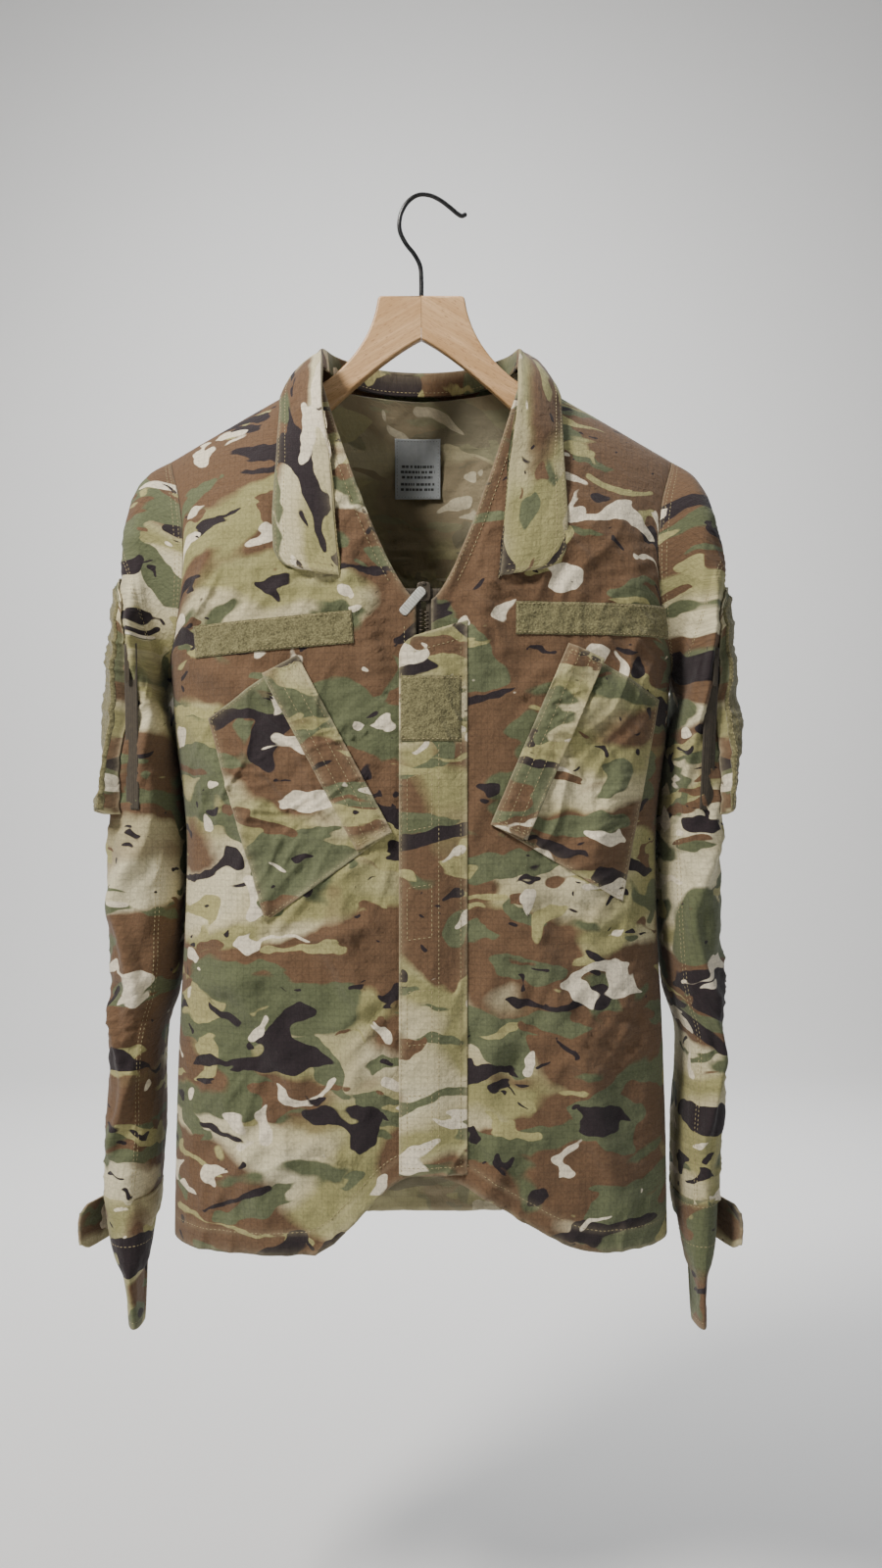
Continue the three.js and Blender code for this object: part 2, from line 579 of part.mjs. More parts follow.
// Point on the sleeve's outer face: ring counts stations from the armhole, and angle runs from the outer point (0)
// through the back to the inner point (PI) and round the front.
function sleevePoint(side, ring, angle, lift = 0) {
  const sign = side === "right" ? -1 : 1;
  const [across, round] = [Math.cos(angle), Math.sin(angle)];
  const armholeZ = mix(ARMPIT_Z, SHOULDER_Z, (1 + across) / 2);
  const armhole = bodyPoint(armholeX(armholeZ), armholeZ, Math.sign(round) || 1);
  armhole.x += ARMHOLE_GAP;
  const oval = ([outerX, outerZ, innerX, innerZ, depth]) => {
    const share = (1 + across) / 2;
    return new THREE.Vector3(
      mix(innerX, outerX, share) + lift * across,
      (depth + lift) * Math.sign(round) * Math.abs(round) ** 0.8, mix(innerZ, outerZ, share));
  };
  const table = SLEEVES[side];
  const low = Math.min(Math.floor(ring), table.length - 1);
  const from = low === 0 ? armhole : oval(table[low - 1]);
  const at = from.lerp(oval(table[low]), ring - low);
  return new THREE.Vector3(sign * at.x, at.y, at.z);
}

function sleeve(side) {
  const last = SLEEVES[side].length;
  const outer = (u, v) => sleevePoint(side, v * last, u * 2 * Math.PI);
  const inner = (u, v) => {
    const at = outer(u, v);
    const ring = v * last;
    const towards = sleevePoint(side, ring, u * 2 * Math.PI + Math.PI).add(at).multiplyScalar(0.5).sub(at);
    if (ring < 1) towards.lerp(new THREE.Vector3(Math.sign(at.x) * 40, 0, -10), 1 - ring);
    return at.addScaledVector(towards.normalize(), CLOTH);
  };
  return betweenFaces(outer, inner, 16, last, true);
}

const CUFF_TOP_Z = -833.6;
function cuff(side) {
  const [outerX, , innerX, , depth] = SLEEVES[side].at(-1);
  const sign = side === "right" ? -1 : 1;
  const drift = side === "right" ? -10 : 0;
  const face = (thick) => (u, v) => {
    const [across, round] = [Math.cos(u * 2 * Math.PI), Math.sin(u * 2 * Math.PI)];
    const y = (depth + 2 - thick) * Math.sign(round) * Math.abs(round) ** 0.8;
    const bottom = mix(-932, -880, (y / depth + 1) / 2);
    const half = mix((outerX - innerX) / 2 + 1, 11, v) - thick;
    const x = (outerX + innerX) / 2 + drift * v * (1 - y / depth) * 0.5 + half * across;
    return new THREE.Vector3(sign * x, y, mix(CUFF_TOP_Z, bottom, v));
  };
  return betweenFaces(face(0), face(CLOTH), 16, 3, true);
}

// A plate on the sleeve's outer side between two rings and two angles.
function sleevePatch(side, ringFrom, ringTo, angleFrom, angleTo, lift, thickness, columns, rows) {
  const at = (extra) => (u, v) =>
    sleevePoint(side, mix(ringFrom, ringTo, v), mix(angleFrom, angleTo, u), (typeof lift === "function" ? lift(u, v) : lift) + extra);
  return betweenFaces(at(thickness), at(0), columns, rows);
}

for (const side of ["right", "left"]) {
  const sign = side === "right" ? -1 : 1;
  add(`sleeve_${side}`, sleeve(side), COLOURS.cloth);
  add(`cuff_${side}`, cuff(side), COLOURS.cloth);
  add(`elbow_patch_${side}`, sleevePatch(side, 6.7, 9.2, 0.5, 1.9, 1.95, CLOTH, 5, 4), COLOURS.cloth);
  add(`sleeve_pocket_${side}`,
    sleevePatch(side, 3.4, 6, -0.96, 1.25, 1.6, SLEEVE_POCKET_THICKNESS, 7, 5), COLOURS.cloth);
  add(`sleeve_loop_field_${side}`,
    sleevePatch(side, 3.9, 5.6, -0.62, 0.9, 2.6 + SLEEVE_POCKET_THICKNESS, LOOP_THICKNESS, 6, 4), COLOURS.loop);

  // The sleeve pocket's zip, a straight run just ahead of the pocket's front edge.
  const zipTop = sleevePoint(side, 3.7, -1.38, 1.5);
  const zipEnd = sleevePoint(side, 5.95, -1.38, 1.5);
  const along = zipEnd.clone().sub(zipTop);
  const length = along.length();
  along.normalize();
  const out = new THREE.Vector3(sign * 0.5, -0.87, 0);
  const middle = zipTop.clone().lerp(zipEnd, 0.5);
  const tape = toSolid(bar(middle, along, out, length, 13, TAPE_THICKNESS))
    .add(toSolid(bar(middle, along, out, length, 4, CHAIN_THICKNESS)));
  add(`sleeve_zip_${side}`, toGeometry(tape), COLOURS.tape);
  const upon = zipTop.clone().addScaledVector(along, 12).addScaledVector(out, CHAIN_THICKNESS / 2 + GAP + SLIDER_PLATE / 2);
  add(`sleeve_zip_slider_${side}`, bar(upon, along, out, 11, 8, SLIDER_PLATE), COLOURS.zipMetal);
  const hung = upon.clone().addScaledVector(along, 8).addScaledVector(out, SLIDER_PLATE + 2 * GAP);
  add(`sleeve_zip_pull_${side}`, bar(hung, along, out, 22, 4, 1), COLOURS.zipMetal);

  // The cuff tab, sewn at its back end and standing clear at its front end.
  const [outerX] = SLEEVES[side].at(-1);
  const tabSeat = side === "right" ? 1.8 : 1.3;
  const tabLift = (u) => mix(1.4, 15, u);
  const tab = (u, v) => {
    const y = mix(14, 14 - CUFF_TAB_LENGTH, u);
    const z = mix(CUFF_TOP_Z - 4, CUFF_TOP_Z - 4 - CUFF_TAB_HEIGHT, v);
    return new THREE.Vector3(sign * (outerX - tabSeat + tabLift(u)), y, z);
  };
  add(`cuff_tab_${side}`, plate(tab, () => new THREE.Vector3(sign, 0, 0), CLOTH, 4, 2), COLOURS.cloth);
}

export default coat;
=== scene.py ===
"""A camouflage field coat hanging open at the neck on a wooden hanger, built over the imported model's frame.

Metres, with +Z up, -Y the coat's front and the origin under the crown of the hanger's hook. "Left" and
"right" are the wearer's, so the right half lies on the -X side. Shapes are worked out in millimetres.
"""
import math

import bpy
import numpy as np
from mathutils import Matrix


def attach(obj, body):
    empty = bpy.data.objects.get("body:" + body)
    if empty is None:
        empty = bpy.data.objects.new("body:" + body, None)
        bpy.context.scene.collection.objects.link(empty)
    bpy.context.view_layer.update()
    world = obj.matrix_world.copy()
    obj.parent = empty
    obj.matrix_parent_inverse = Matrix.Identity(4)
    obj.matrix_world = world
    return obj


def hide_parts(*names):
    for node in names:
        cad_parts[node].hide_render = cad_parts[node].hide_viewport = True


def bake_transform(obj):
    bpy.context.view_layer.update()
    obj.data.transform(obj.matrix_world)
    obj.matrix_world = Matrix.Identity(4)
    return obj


bl_info = {
    "name": "Camouflage Field Coat",
    "version": (1, 0, 0),
    "blender": (4, 5, 0),
    "location": "3D View > Sidebar > Coat",
    "description": "Adds a field coat with its pockets, fastenings and wooden hanger",
    "category": "Add Mesh",
}

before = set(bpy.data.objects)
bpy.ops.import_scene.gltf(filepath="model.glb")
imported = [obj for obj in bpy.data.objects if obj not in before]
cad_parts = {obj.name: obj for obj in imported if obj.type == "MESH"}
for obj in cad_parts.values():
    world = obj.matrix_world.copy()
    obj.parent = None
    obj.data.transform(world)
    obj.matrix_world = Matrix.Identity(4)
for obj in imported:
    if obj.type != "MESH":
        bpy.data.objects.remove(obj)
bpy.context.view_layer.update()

# ---- colours ----

STONE = "#CDC5A4"
KHAKI = "#979263"
OLIVE = "#60664A"
BROWN = "#674F39"
DARK = "#292124"
PALE = "#DED4BC"
THREAD = "#BDB085"
LOOP_PILE = "#8D8862"
WOOD = "#DDB78A"


def linear(code):
    """An sRGB hex colour as linear red, green, blue and alpha."""
    parts = [int(code[i : i + 2], 16) / 255 for i in (1, 3, 5)]
    return [p / 12.92 if p <= 0.04045 else ((p + 0.055) / 1.055) ** 2.4 for p in parts] + [1.0]


def colour_choice(name, code, what):
    return bpy.props.FloatVectorProperty(name=name, description=what, default=linear(code), size=4, min=0,
                                         max=1, subtype="COLOR")


def length_choice(name, metres, what):
    return bpy.props.FloatProperty(name=name, description=what, default=metres, min=metres / 4,
                                   max=metres * 4, subtype="DISTANCE", unit="LENGTH")


class CoatColours(bpy.types.PropertyGroup):
    """The colours of the print and of the other finishes."""

    stone: colour_choice("Stone", STONE, "The palest part of the print's soft ground")
    khaki: colour_choice("Khaki", KHAKI, "The yellower part of the ground")
    olive: colour_choice("Olive", OLIVE, "The green patches")
    brown: colour_choice("Brown", BROWN, "The large brown patches")
    dark: colour_choice("Dark", DARK, "The near-black patches")
    pale: colour_choice("Pale", PALE, "The small pale patches")
    thread: colour_choice("Thread", THREAD, "The sewing thread")
    loop_pile: colour_choice("Loop pile", LOOP_PILE, "The name tapes and patch fields")
    wood: colour_choice("Wood", WOOD, "The hanger's board")


class CoatSizes(bpy.types.PropertyGroup):
    """The sizes of what is finer than the solids."""

    folds: bpy.props.FloatProperty(name="Folds", description="How deep the cloth's folds are, as a factor",
                                   default=1.0, min=0.0, max=1.6)
    cloth: length_choice("Cloth", 0.0011, "How thick one layer of the cloth is")
    ripstop: length_choice("Ripstop squares", 0.0052, "The distance between the raised threads")
    loops: length_choice("Loop size", 0.0013, "The distance between loops of the pile")
    stitch: length_choice("Stitch", 0.0027, "How long a stitch is")


# ---- numbers and noise ----


def track(stations):
    """A smooth value through stations (at, value): cubic pieces whose slopes come from the neighbours."""
    at, value = np.array(stations, float).T
    slope = np.gradient(value, at)
    slope[0], slope[-1] = (value[1] - value[0]) / (at[1] - at[0]), (value[-1] - value[-2]) / (at[-1] - at[-2])

    def curve(x):
        x = np.clip(np.asarray(x, float), at[0], at[-1])
        i = np.clip(np.searchsorted(at, x, side="right") - 1, 0, len(at) - 2)
        h = at[i + 1] - at[i]
        t = (x - at[i]) / h
        a, b = (1 + 2 * t) * (1 - t) ** 2, t * t * (3 - 2 * t)
        c, d = t * (1 - t) ** 2, t * t * (t - 1)
        return a * value[i] + b * value[i + 1] + h * (c * slope[i] + d * slope[i + 1])

    return curve


def mix(a, b, t):
    return a + (b - a) * t


def smooth(x, low, high):
    """0 below low, 1 above high, and an S curve between them."""
    t = np.clip((np.asarray(x, float) - low) / (high - low), 0, 1)
    return t * t * (3 - 2 * t)


def noise(x, y, seed):
    """Gradient noise from -1 to 1: a random slope at each whole-number corner, blended across each cell."""
    x, y = np.broadcast_arrays(np.asarray(x, float), np.asarray(y, float))
    cx, cy = np.floor(x), np.floor(y)
    fx, fy = x - cx, y - cy
    bx, by = fx**3 * (fx * (fx * 6 - 15) + 10), fy**3 * (fy * (fy * 6 - 15) + 10)

    def corner(i, j):
        h = (cx + i).astype(np.int64) * 374761393 + (cy + j).astype(np.int64) * 668265263 + seed * 974711
        h = (h ^ (h >> 13)) * 1274126177 & 0xFFFFFFFF
        h = (h ^ (h >> 16)) * 2246822519 & 0xFFFFFFFF
        turn = (h ^ (h >> 15)) / 0xFFFFFFFF * 2 * np.pi
        return np.cos(turn) * (fx - i) + np.sin(turn) * (fy - j)

    top = mix(corner(0, 0), corner(1, 0), bx)
    return 1.5 * mix(top, mix(corner(0, 1), corner(1, 1), bx), by)


def creases(x, y, seed, degrees, length, width):
    """Sharp-backed wrinkles running at an angle: one minus the size of a noise that is stretched along
    them."""
    a = math.radians(degrees)
    along, across = x * math.cos(a) + y * math.sin(a), y * math.cos(a) - x * math.sin(a)
    bend = 0.8 * noise(along / length, across / length, seed + 5)
    n = noise(along / length, across / width + bend, seed)
    return np.maximum(1 - 2.2 * np.abs(n), 0) ** 1.5 * smooth(noise(x / 90, y / 90, seed + 9), -0.35, 0.45)


def fold(x, z, start, end, width, height):
    """A soft fold along a line: a bell across it that dies away towards both ends."""
    (x0, z0), (x1, z1) = start, end
    dx, dz = x1 - x0, z1 - z0
    long = math.hypot(dx, dz)
    t = ((x - x0) * dx + (z - z0) * dz) / long**2
    away = ((x - x0) * dz - (z - z0) * dx) / long
    return height * np.exp(-((away / width) ** 2)) * np.clip(4 * t * (1 - t), 0, 1) ** 0.8


# ---- the coat's body: the same curves as the solids ----

NECK_X, NECK_Z, SHOULDER_X, SHOULDER_Z, ARMPIT_Z = 84, -156, 208, -226, -402
FRONT_DEPTH, BACK_DEPTH, SHOULDER_ROUND = 92, 72, 165
V_POINT_Z, ZIP_X, BACK_HEM_Z = -352, 3, -872

body_half = track([(-880, 203), (-760, 201), (-680, 198), (-600, 194), (-520, 194), (-460, 201.5),
                   (ARMPIT_Z, 206), (-330, 214), (-200, 214)])
armhole_x = track([(ARMPIT_Z, 206), (-368, 195), (-314, 189), (-262, 196), (SHOULDER_Z, SHOULDER_X),
                   (-150, 209)])
SLOPE = (SHOULDER_Z - NECK_Z) / (SHOULDER_X - NECK_X)


def shoulder_line(x):
    return NECK_Z + SLOPE * (np.abs(x) - NECK_X)


def side_x(z):
    return np.where(z > ARMPIT_Z, armhole_x(z), body_half(z))


def body_depth(x, z, front):
    """How far the body stands from the middle plane: a squared oval that closes in a ridge at the shoulder
    line."""
    depth = np.where(front < 0, FRONT_DEPTH, BACK_DEPTH)
    share = np.minimum(np.abs(x) / body_half(z), 1)
    below = np.clip((shoulder_line(x) - z) / SHOULDER_ROUND, 0, 1)
    return 0.3 + depth * (1 - share**3) ** (1 / 3) * np.sqrt(1 - (1 - below) ** 2)


FRONT_FOLDS = [((-196, -395), (-70, -440), 11, 4.5), ((-190, -430), (-120, -560), 13, 5),
               ((-60, -300), (-30, -420), 9, 3), ((-170, -600), (-60, -790), 12, 5),
               ((-120, -585), (-30, -700), 9, -4), ((-60, -560), (-45, -850), 14, 4),
               ((-160, -720), (-110, -860), 14, 5), ((-25, -545), (-100, -585), 6, 2.6),
               ((-22, -600), (-90, -618), 6, 2.4), ((-20, -650), (-75, -690), 7, 2.6),
               ((-196, -800), (-90, -745), 10, -3), ((-150, -250), (-190, -395), 12, 4),
               ((190, -395), (90, -470), 12, 4.5), ((180, -430), (120, -600), 13, 5),
               ((60, -300), (40, -420), 9, 3), ((70, -570), (150, -760), 13, 5.5),
               ((50, -600), (60, -840), 12, 4.5), ((40, -545), (110, -600), 7, 2.6),
               ((38, -610), (110, -640), 7, 2.6), ((120, -700), (170, -860), 13, 5),
               ((90, -660), (40, -800), 10, -3.5), ((150, -250), (188, -395), 12, 4),
               ((40, -700), (120, -690), 7, 2.4), ((-190, -660), (-120, -640), 9, 3),
               ((-110, -200), (-150, -330), 13, 3.4), ((115, -195), (150, -330), 13, 3.4),
               ((60, -480), (30, -560), 8, 2.5)]
BACK_FOLDS = [((-195, -400), (-60, -520), 13, 5), ((195, -400), (60, -520), 13, 5),
              ((-120, -560), (-90, -860), 16, 6), ((110, -560), (90, -860), 16, 6),
              ((-20, -450), (-30, -850), 17, 5), ((40, -620), (20, -860), 13, -4),
              ((-160, -640), (-170, -860), 14, 5), ((165, -640), (175, -860), 14, 5),
              ((-70, -250), (-110, -400), 14, 3), ((70, -250), (110, -400), 14, 3)]

TAPE_LONG, TAPE_TALL = 127, 25.4
NAME_TAPES = {"right": (-115, -378, 4.5), "left": (138, -366, 0)}


def drape(x, z, front):
    """Folds of the hanging cloth in millimetres: long drape folds, the placed folds, then wrinkles and
    crumple."""
    side = np.abs(x) / body_half(z)
    free = smooth(shoulder_line(x) - z, 20, 150) * (1 - 0.75 * smooth(side, 0.86, 1.0))
    seed, folds = (3, FRONT_FOLDS) if front < 0 else (40, BACK_FOLDS)
    long = 5.2 * noise(x / 62 + 0.25 * noise(z / 150, x / 150, 8), z / 330, seed) * smooth(-z, 330, 700)
    placed = sum(fold(x, z, *each) for each in folds)
    wrinkle = 3.6 * creases(x, z, seed + 1, 62, 90, 22) + 3.2 * creases(x, z, seed + 2, -48, 80, 19)
    wrinkle = wrinkle + 2.3 * creases(x, z, seed + 3, 12, 60, 13)
    crumple = 1.5 * noise(x / 19, z / 23, seed + 7) + 0.75 * noise(x / 9, z / 11, seed + 4)
    crumple = crumple + 0.3 * noise(x / 4.5, z / 5, seed + 6)
    stiff = 1 - 0.8 * np.exp(-(((x - ZIP_X) / 26) ** 2)) * (front < 0)
    for x0, z0, turn in NAME_TAPES.values() if front < 0 else ():
        along = (x - x0) + math.tan(math.radians(turn)) * (z - z0)
        over = (z - z0) - math.tan(math.radians(turn)) * (x - x0)
        stiff = stiff * (1 - 0.6 * np.exp(-((along / 70) ** 6) - (over / 17) ** 4))
    soft = free * stiff * (long + 1.45 * placed + wrinkle) + crumple * (0.3 + 0.7 * free) * stiff
    return bpy.context.scene.coat_sizes.folds * soft


def front_at(x, z, lift=0.0):
    """A point on the outside of the front at x and z, lifted towards the viewer by a distance."""
    y = -body_depth(x, z, -1) - drape(x, z, -1) - lift
    return np.stack(np.broadcast_arrays(x, y, z), -1)


def back_at(x, z, lift=0.0):
    """A point on the outside of the back at x and z, lifted away from the body."""
    y = body_depth(x, z, 1) + drape(x, z, 1) + lift
    return np.stack(np.broadcast_arrays(x, y, z), -1)


# ---- meshes ----


def sheet_mesh(name, points, uv, closed=False, wear=None):
    """A mesh from rows and columns of points in millimetres, with a UV map in metres of flat cloth.

    Faces join neighbours in the grid, and the last column joins the first on a closed tube.
    """
    rows, cols = points.shape[:2]
    index = np.arange(rows * cols).reshape(rows, cols)
    right = np.roll(index, -1, 1) if closed else index[:, 1:]
    left = index if closed else index[:, :-1]
    quads = np.stack([left[:-1], right[:-1], right[1:], left[1:]], -1).reshape(-1, 4)
    mesh = bpy.data.meshes.new(name)
    mesh.from_pydata((points.reshape(-1, 3) / 1000).tolist(), [], quads.tolist())
    across = uv.shape[1]
    corner_uv = np.arange(rows * across).reshape(rows, across)
    a = corner_uv[:, :-1][:, : left.shape[1]]
    b = corner_uv[:, 1:][:, : left.shape[1]]
    corners = np.stack([a[:-1], b[:-1], b[1:], a[1:]], -1).reshape(-1)
    layer = mesh.uv_layers.new(name="cut")
    layer.data.foreach_set("uv", (uv.reshape(-1, 2)[corners] / 1000).ravel())
    if wear is not None:
        worn = mesh.attributes.new("wear", "FLOAT", "POINT")
        worn.data.foreach_set("value", wear.ravel().astype(np.float32))
    mesh.polygons.foreach_set("use_smooth", np.ones(len(quads), bool))
    return mesh


def solid_mesh(name, vertices, faces, uv=None, smooth_shading=True):
    """A mesh from vertices in millimetres and a list of faces, with a UV per corner in millimetres if
    given."""
    mesh = bpy.data.meshes.new(name)
    mesh.from_pydata((np.asarray(vertices) / 1000).tolist(), [], [list(map(int, f)) for f in faces])
    if uv is not None:
        layer = mesh.uv_layers.new(name="cut")
        layer.data.foreach_set("uv", (np.asarray(uv) / 1000).ravel())
    mesh.polygons.foreach_set("use_smooth", np.full(len(mesh.polygons), smooth_shading))
    return mesh


def place(name, mesh, finishes, body, *nodes, slot=None):
    """Puts a mesh in the scene as one piece standing for the named solids, and hides those solids. It rides
    on a body;
    when body holds two bodies and two points instead, its place is baked in and it rides on none."""
    piece = bpy.data.objects.new(name + "_made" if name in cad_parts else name, mesh)
    bpy.context.scene.collection.objects.link(piece)
    for finish in (finishes,) if isinstance(finishes, str) else finishes:
        mesh.materials.append(finish_of(finish))
    if isinstance(body, str):
        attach(piece, body)
    else:
        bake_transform(piece)
    if nodes:
        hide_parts(*nodes)
    return piece


def thicken(piece, layers=1.0):
    """Gives a sheet its thickness inwards; the inner face takes the second material."""
    wall = piece.modifiers.new("cloth thickness", "SOLIDIFY")
    wall.thickness, wall.offset = bpy.context.scene.coat_sizes.cloth * layers, -1
    wall.material_offset = 1


def face_out(mesh, towards):
    """Turns a sheet's faces over if most of them look away from a direction."""
    normals = np.empty(len(mesh.polygons) * 3)
    mesh.polygons.foreach_get("normal", normals)
    if (normals.reshape(-1, 3) @ np.array(towards, float)).sum() < 0:
        mesh.flip_normals()
    return mesh


def edge_wear(u, v, su, sv):
    """How worn the cloth is near a panel's edges: 1 on the edge, fading over about six millimetres."""
    near = np.minimum(np.minimum(u, 1 - u) * su, np.minimum(v, 1 - v) * sv)
    return np.exp(-np.clip(near, 0, None) / 2.5)


# ---- materials ----


def add_node(tree, kind, inputs=(), **settings):
    """Adds a shader node, sets its properties, and fills its inputs with values or other nodes' outputs."""
    made = tree.nodes.new("ShaderNode" + kind)
    for key, value in settings.items():
        setattr(made, key, value)
    for key, value in dict(inputs).items():
        if isinstance(value, bpy.types.NodeSocket):
            tree.links.new(value, made.inputs[key])
        else:
            made.inputs[key].default_value = value
    return made.outputs[0] if kind not in ("Mix", "BsdfPrincipled") else made


def new_material(name, **constants):
    """A principled material with its constant values set on the shader's own sockets."""
    material = bpy.data.materials.new(name)
    material.use_nodes = True
    shader = material.node_tree.nodes["Principled BSDF"]
    for key, value in constants.items():
        shader.inputs[key.replace("_", " ")].default_value = value
    return material, material.node_tree, shader


def colour_mix(tree, factor, a, b, mode="MIX"):
    node = tree.nodes.new("ShaderNodeMix")
    node.data_type, node.blend_type = "RGBA", mode
    for key, value in (("Factor_Float", factor), ("A_Color", a), ("B_Color", b)):
        socket = next(s for s in node.inputs if s.identifier == key)
        if isinstance(value, bpy.types.NodeSocket):
            tree.links.new(value, socket)
        else:
            socket.default_value = value
    return next(s for s in node.outputs if s.identifier == "Result_Color")


def scaled(tree, vector, scale, location=(0, 0, 0), rotation=(0, 0, 0)):
    return add_node(tree, "Mapping",
                    {"Vector": vector, "Location": location, "Rotation": rotation, "Scale": scale})


def patches(tree, vector, seed, size_mm, flatness, level, detail=3.0, soft=0.006):
    """Sharp-edged blobs of print about size_mm long, lying along the cloth's width: a stretched noise cut
    at a level."""
    per = 1000 / size_mm
    place_in = scaled(tree, vector, (per, per * flatness, 1), (seed * 3.71, seed * 1.93, seed * 2.37))
    grain = add_node(tree, "TexNoise", {"Vector": place_in, "Scale": 1.0, "Detail": detail, "Roughness": 0.42,
                                        "Distortion": 0.9})
    return add_node(tree, "MapRange", {"Value": grain, "From Min": level - soft, "From Max": level + soft})


def grid_lines(tree, vector, pitch_mm, width):
    """1 on the raised threads of the ripstop squares and 0 between them."""
    split = tree.nodes.new("ShaderNodeSeparateXYZ")
    tree.links.new(vector, split.inputs[0])
    lines = []
    for axis in (0, 1):
        turns = add_node(tree, "Math", {0: split.outputs[axis], 1: 1000 / pitch_mm}, operation="MULTIPLY")
        part = add_node(tree, "Math", {0: turns}, operation="FRACT")
        lines.append(add_node(tree, "Math", {0: part, 1: width}, operation="LESS_THAN"))
    return add_node(tree, "Math", {0: lines[0], 1: lines[1]}, operation="MAXIMUM")


def camouflage(name, faded=0.0):
    """Ripstop twill of cotton and nylon, printed and washed soft: matt, a little fuzzy, with raised threads
    every five millimetres. The print is a generic one of soft ground colours under sharp blobs. Faded is
    the unprinted inner face, where the colours show through the cloth as a pale ghost."""
    material, tree, shader = new_material(name, Roughness=0.92, Sheen_Weight=0.1, Sheen_Roughness=0.6)
    shader.inputs["Specular IOR Level"].default_value = 0.25
    paint, sizes = bpy.context.scene.coat_colours, bpy.context.scene.coat_sizes
    brown, olive, dark, pale = (tuple(c) for c in (paint.brown, paint.olive, paint.dark, paint.pale))
    cut = add_node(tree, "UVMap", uv_map="cut")
    wander = tree.nodes.new("ShaderNodeTexNoise")
    wander.inputs["Scale"].default_value = 55
    wander.inputs["Detail"].default_value = 1
    tree.links.new(cut, wander.inputs["Vector"])
    shift = add_node(tree, "VectorMath", {0: wander.outputs["Color"], 1: (0.5, 0.5, 0.5)},
                     operation="SUBTRACT")
    shift = add_node(tree, "VectorMath", {0: shift, "Scale": 0.011}, operation="SCALE")
    cloth = add_node(tree, "VectorMath", {0: cut, 1: shift}, operation="ADD")

    ground = add_node(tree, "TexNoise", {"Vector": scaled(tree, cloth, (4.6, 9.5, 1), (4.1, 2.2, 0.7)),
                                         "Scale": 1.0, "Detail": 1.6, "Roughness": 0.45, "Distortion": 0.35})
    ramp = tree.nodes.new("ShaderNodeValToRGB")
    ramp.color_ramp.interpolation = "LINEAR"
    stone, khaki = tuple(paint.stone), tuple(paint.khaki)
    stops = ((0.34, stone), (0.43, linear("#BDB48E")), (0.47, khaki), (0.53, linear("#8E8A5C")),
             (0.56, linear("#A19C6F")), (0.60, linear("#B3AA84")), (0.66, stone))
    for at, colour in stops[1:-1]:
        ramp.color_ramp.elements.new(at).color = colour
    for end in (0, -1):
        ramp.color_ramp.elements[end].position, ramp.color_ramp.elements[end].color = stops[end]
    tree.links.new(ground, ramp.inputs["Fac"])
    colour = ramp.outputs["Color"]
    for seed, size, flat, level, code, detail, soft in (
        (3, 230, 1.9, 0.472, brown, 2.0, 0.020),
        (7, 104, 2.2, 0.590, olive, 2.0, 0.004),
        (11, 140, 2.5, 0.596, linear("#5B6145"), 2.2, 0.010),
        (17, 96, 2.3, 0.632, linear("#A09A69"), 2.0, 0.004),
        (13, 86, 2.4, 0.655, brown, 2.0, 0.004),
        (29, 98, 2.2, 0.630, dark, 2.0, 0.003),
        (19, 58, 1.6, 0.664, pale, 1.6, 0.003),
        (37, 24, 1.5, 0.716, dark, 1.0, 0.006),
    ):
        mask = patches(tree, cloth, seed, size, flat, level, detail, soft)
        colour = colour_mix(tree, mask, colour, code)

    mottle = add_node(tree, "TexNoise", {"Vector": cut, "Scale": 420, "Detail": 3, "Roughness": 0.6})
    washed = add_node(tree, "MapRange",
                      {"Value": mottle, "From Min": 0.3, "From Max": 0.7, "To Min": 0.80, "To Max": 1.14})
    threads = grid_lines(tree, cut, sizes.ripstop * 1000, 0.17)
    lifted = add_node(tree, "Math", {0: threads, 1: 0.10}, operation="MULTIPLY")
    shade = add_node(tree, "Math", {0: washed, 1: lifted}, operation="SUBTRACT")
    tone = add_node(tree, "CombineColor", {0: shade, 1: shade, 2: shade})
    colour = colour_mix(tree, 1.0, colour, tone, "MULTIPLY")
    worn = tree.nodes.new("ShaderNodeAttribute")
    worn.attribute_name = "wear"
    scuffs = add_node(tree, "TexNoise", {"Vector": cut, "Scale": 130, "Detail": 4, "Roughness": 0.7})
    rub = add_node(tree, "Math", {0: worn.outputs["Fac"], 1: scuffs}, operation="MULTIPLY")
    rub = add_node(tree, "Math", {0: rub, 1: 0.75}, operation="MULTIPLY")
    colour = colour_mix(tree, rub, colour, linear("#B5AA8A"))
    if faded:
        colour = colour_mix(tree, faded, colour, linear("#B4AD8E"))
    tree.links.new(colour, shader.inputs["Base Color"])

    weave = add_node(tree, "TexNoise",
                     {"Vector": scaled(tree, cut, (900, 520, 1)), "Scale": 1.0, "Detail": 2})
    crumple = add_node(tree, "TexNoise",
                       {"Vector": cut, "Scale": 95, "Detail": 4, "Roughness": 0.6, "Distortion": 0.5})
    height = add_node(tree, "Math", {0: threads, 1: 0.5, 2: weave}, operation="MULTIPLY_ADD")
    height = add_node(tree, "Math", {0: crumple, 1: 6.5, 2: height}, operation="MULTIPLY_ADD")
    bump = add_node(tree, "Bump", {"Strength": 0.7, "Distance": 0.00032, "Height": height})
    tree.links.new(bump, shader.inputs["Normal"])
    return material


def as_colour(value):
    """A colour chosen by the user as it is, or a hex colour converted."""
    return linear(value) if isinstance(value, str) else value


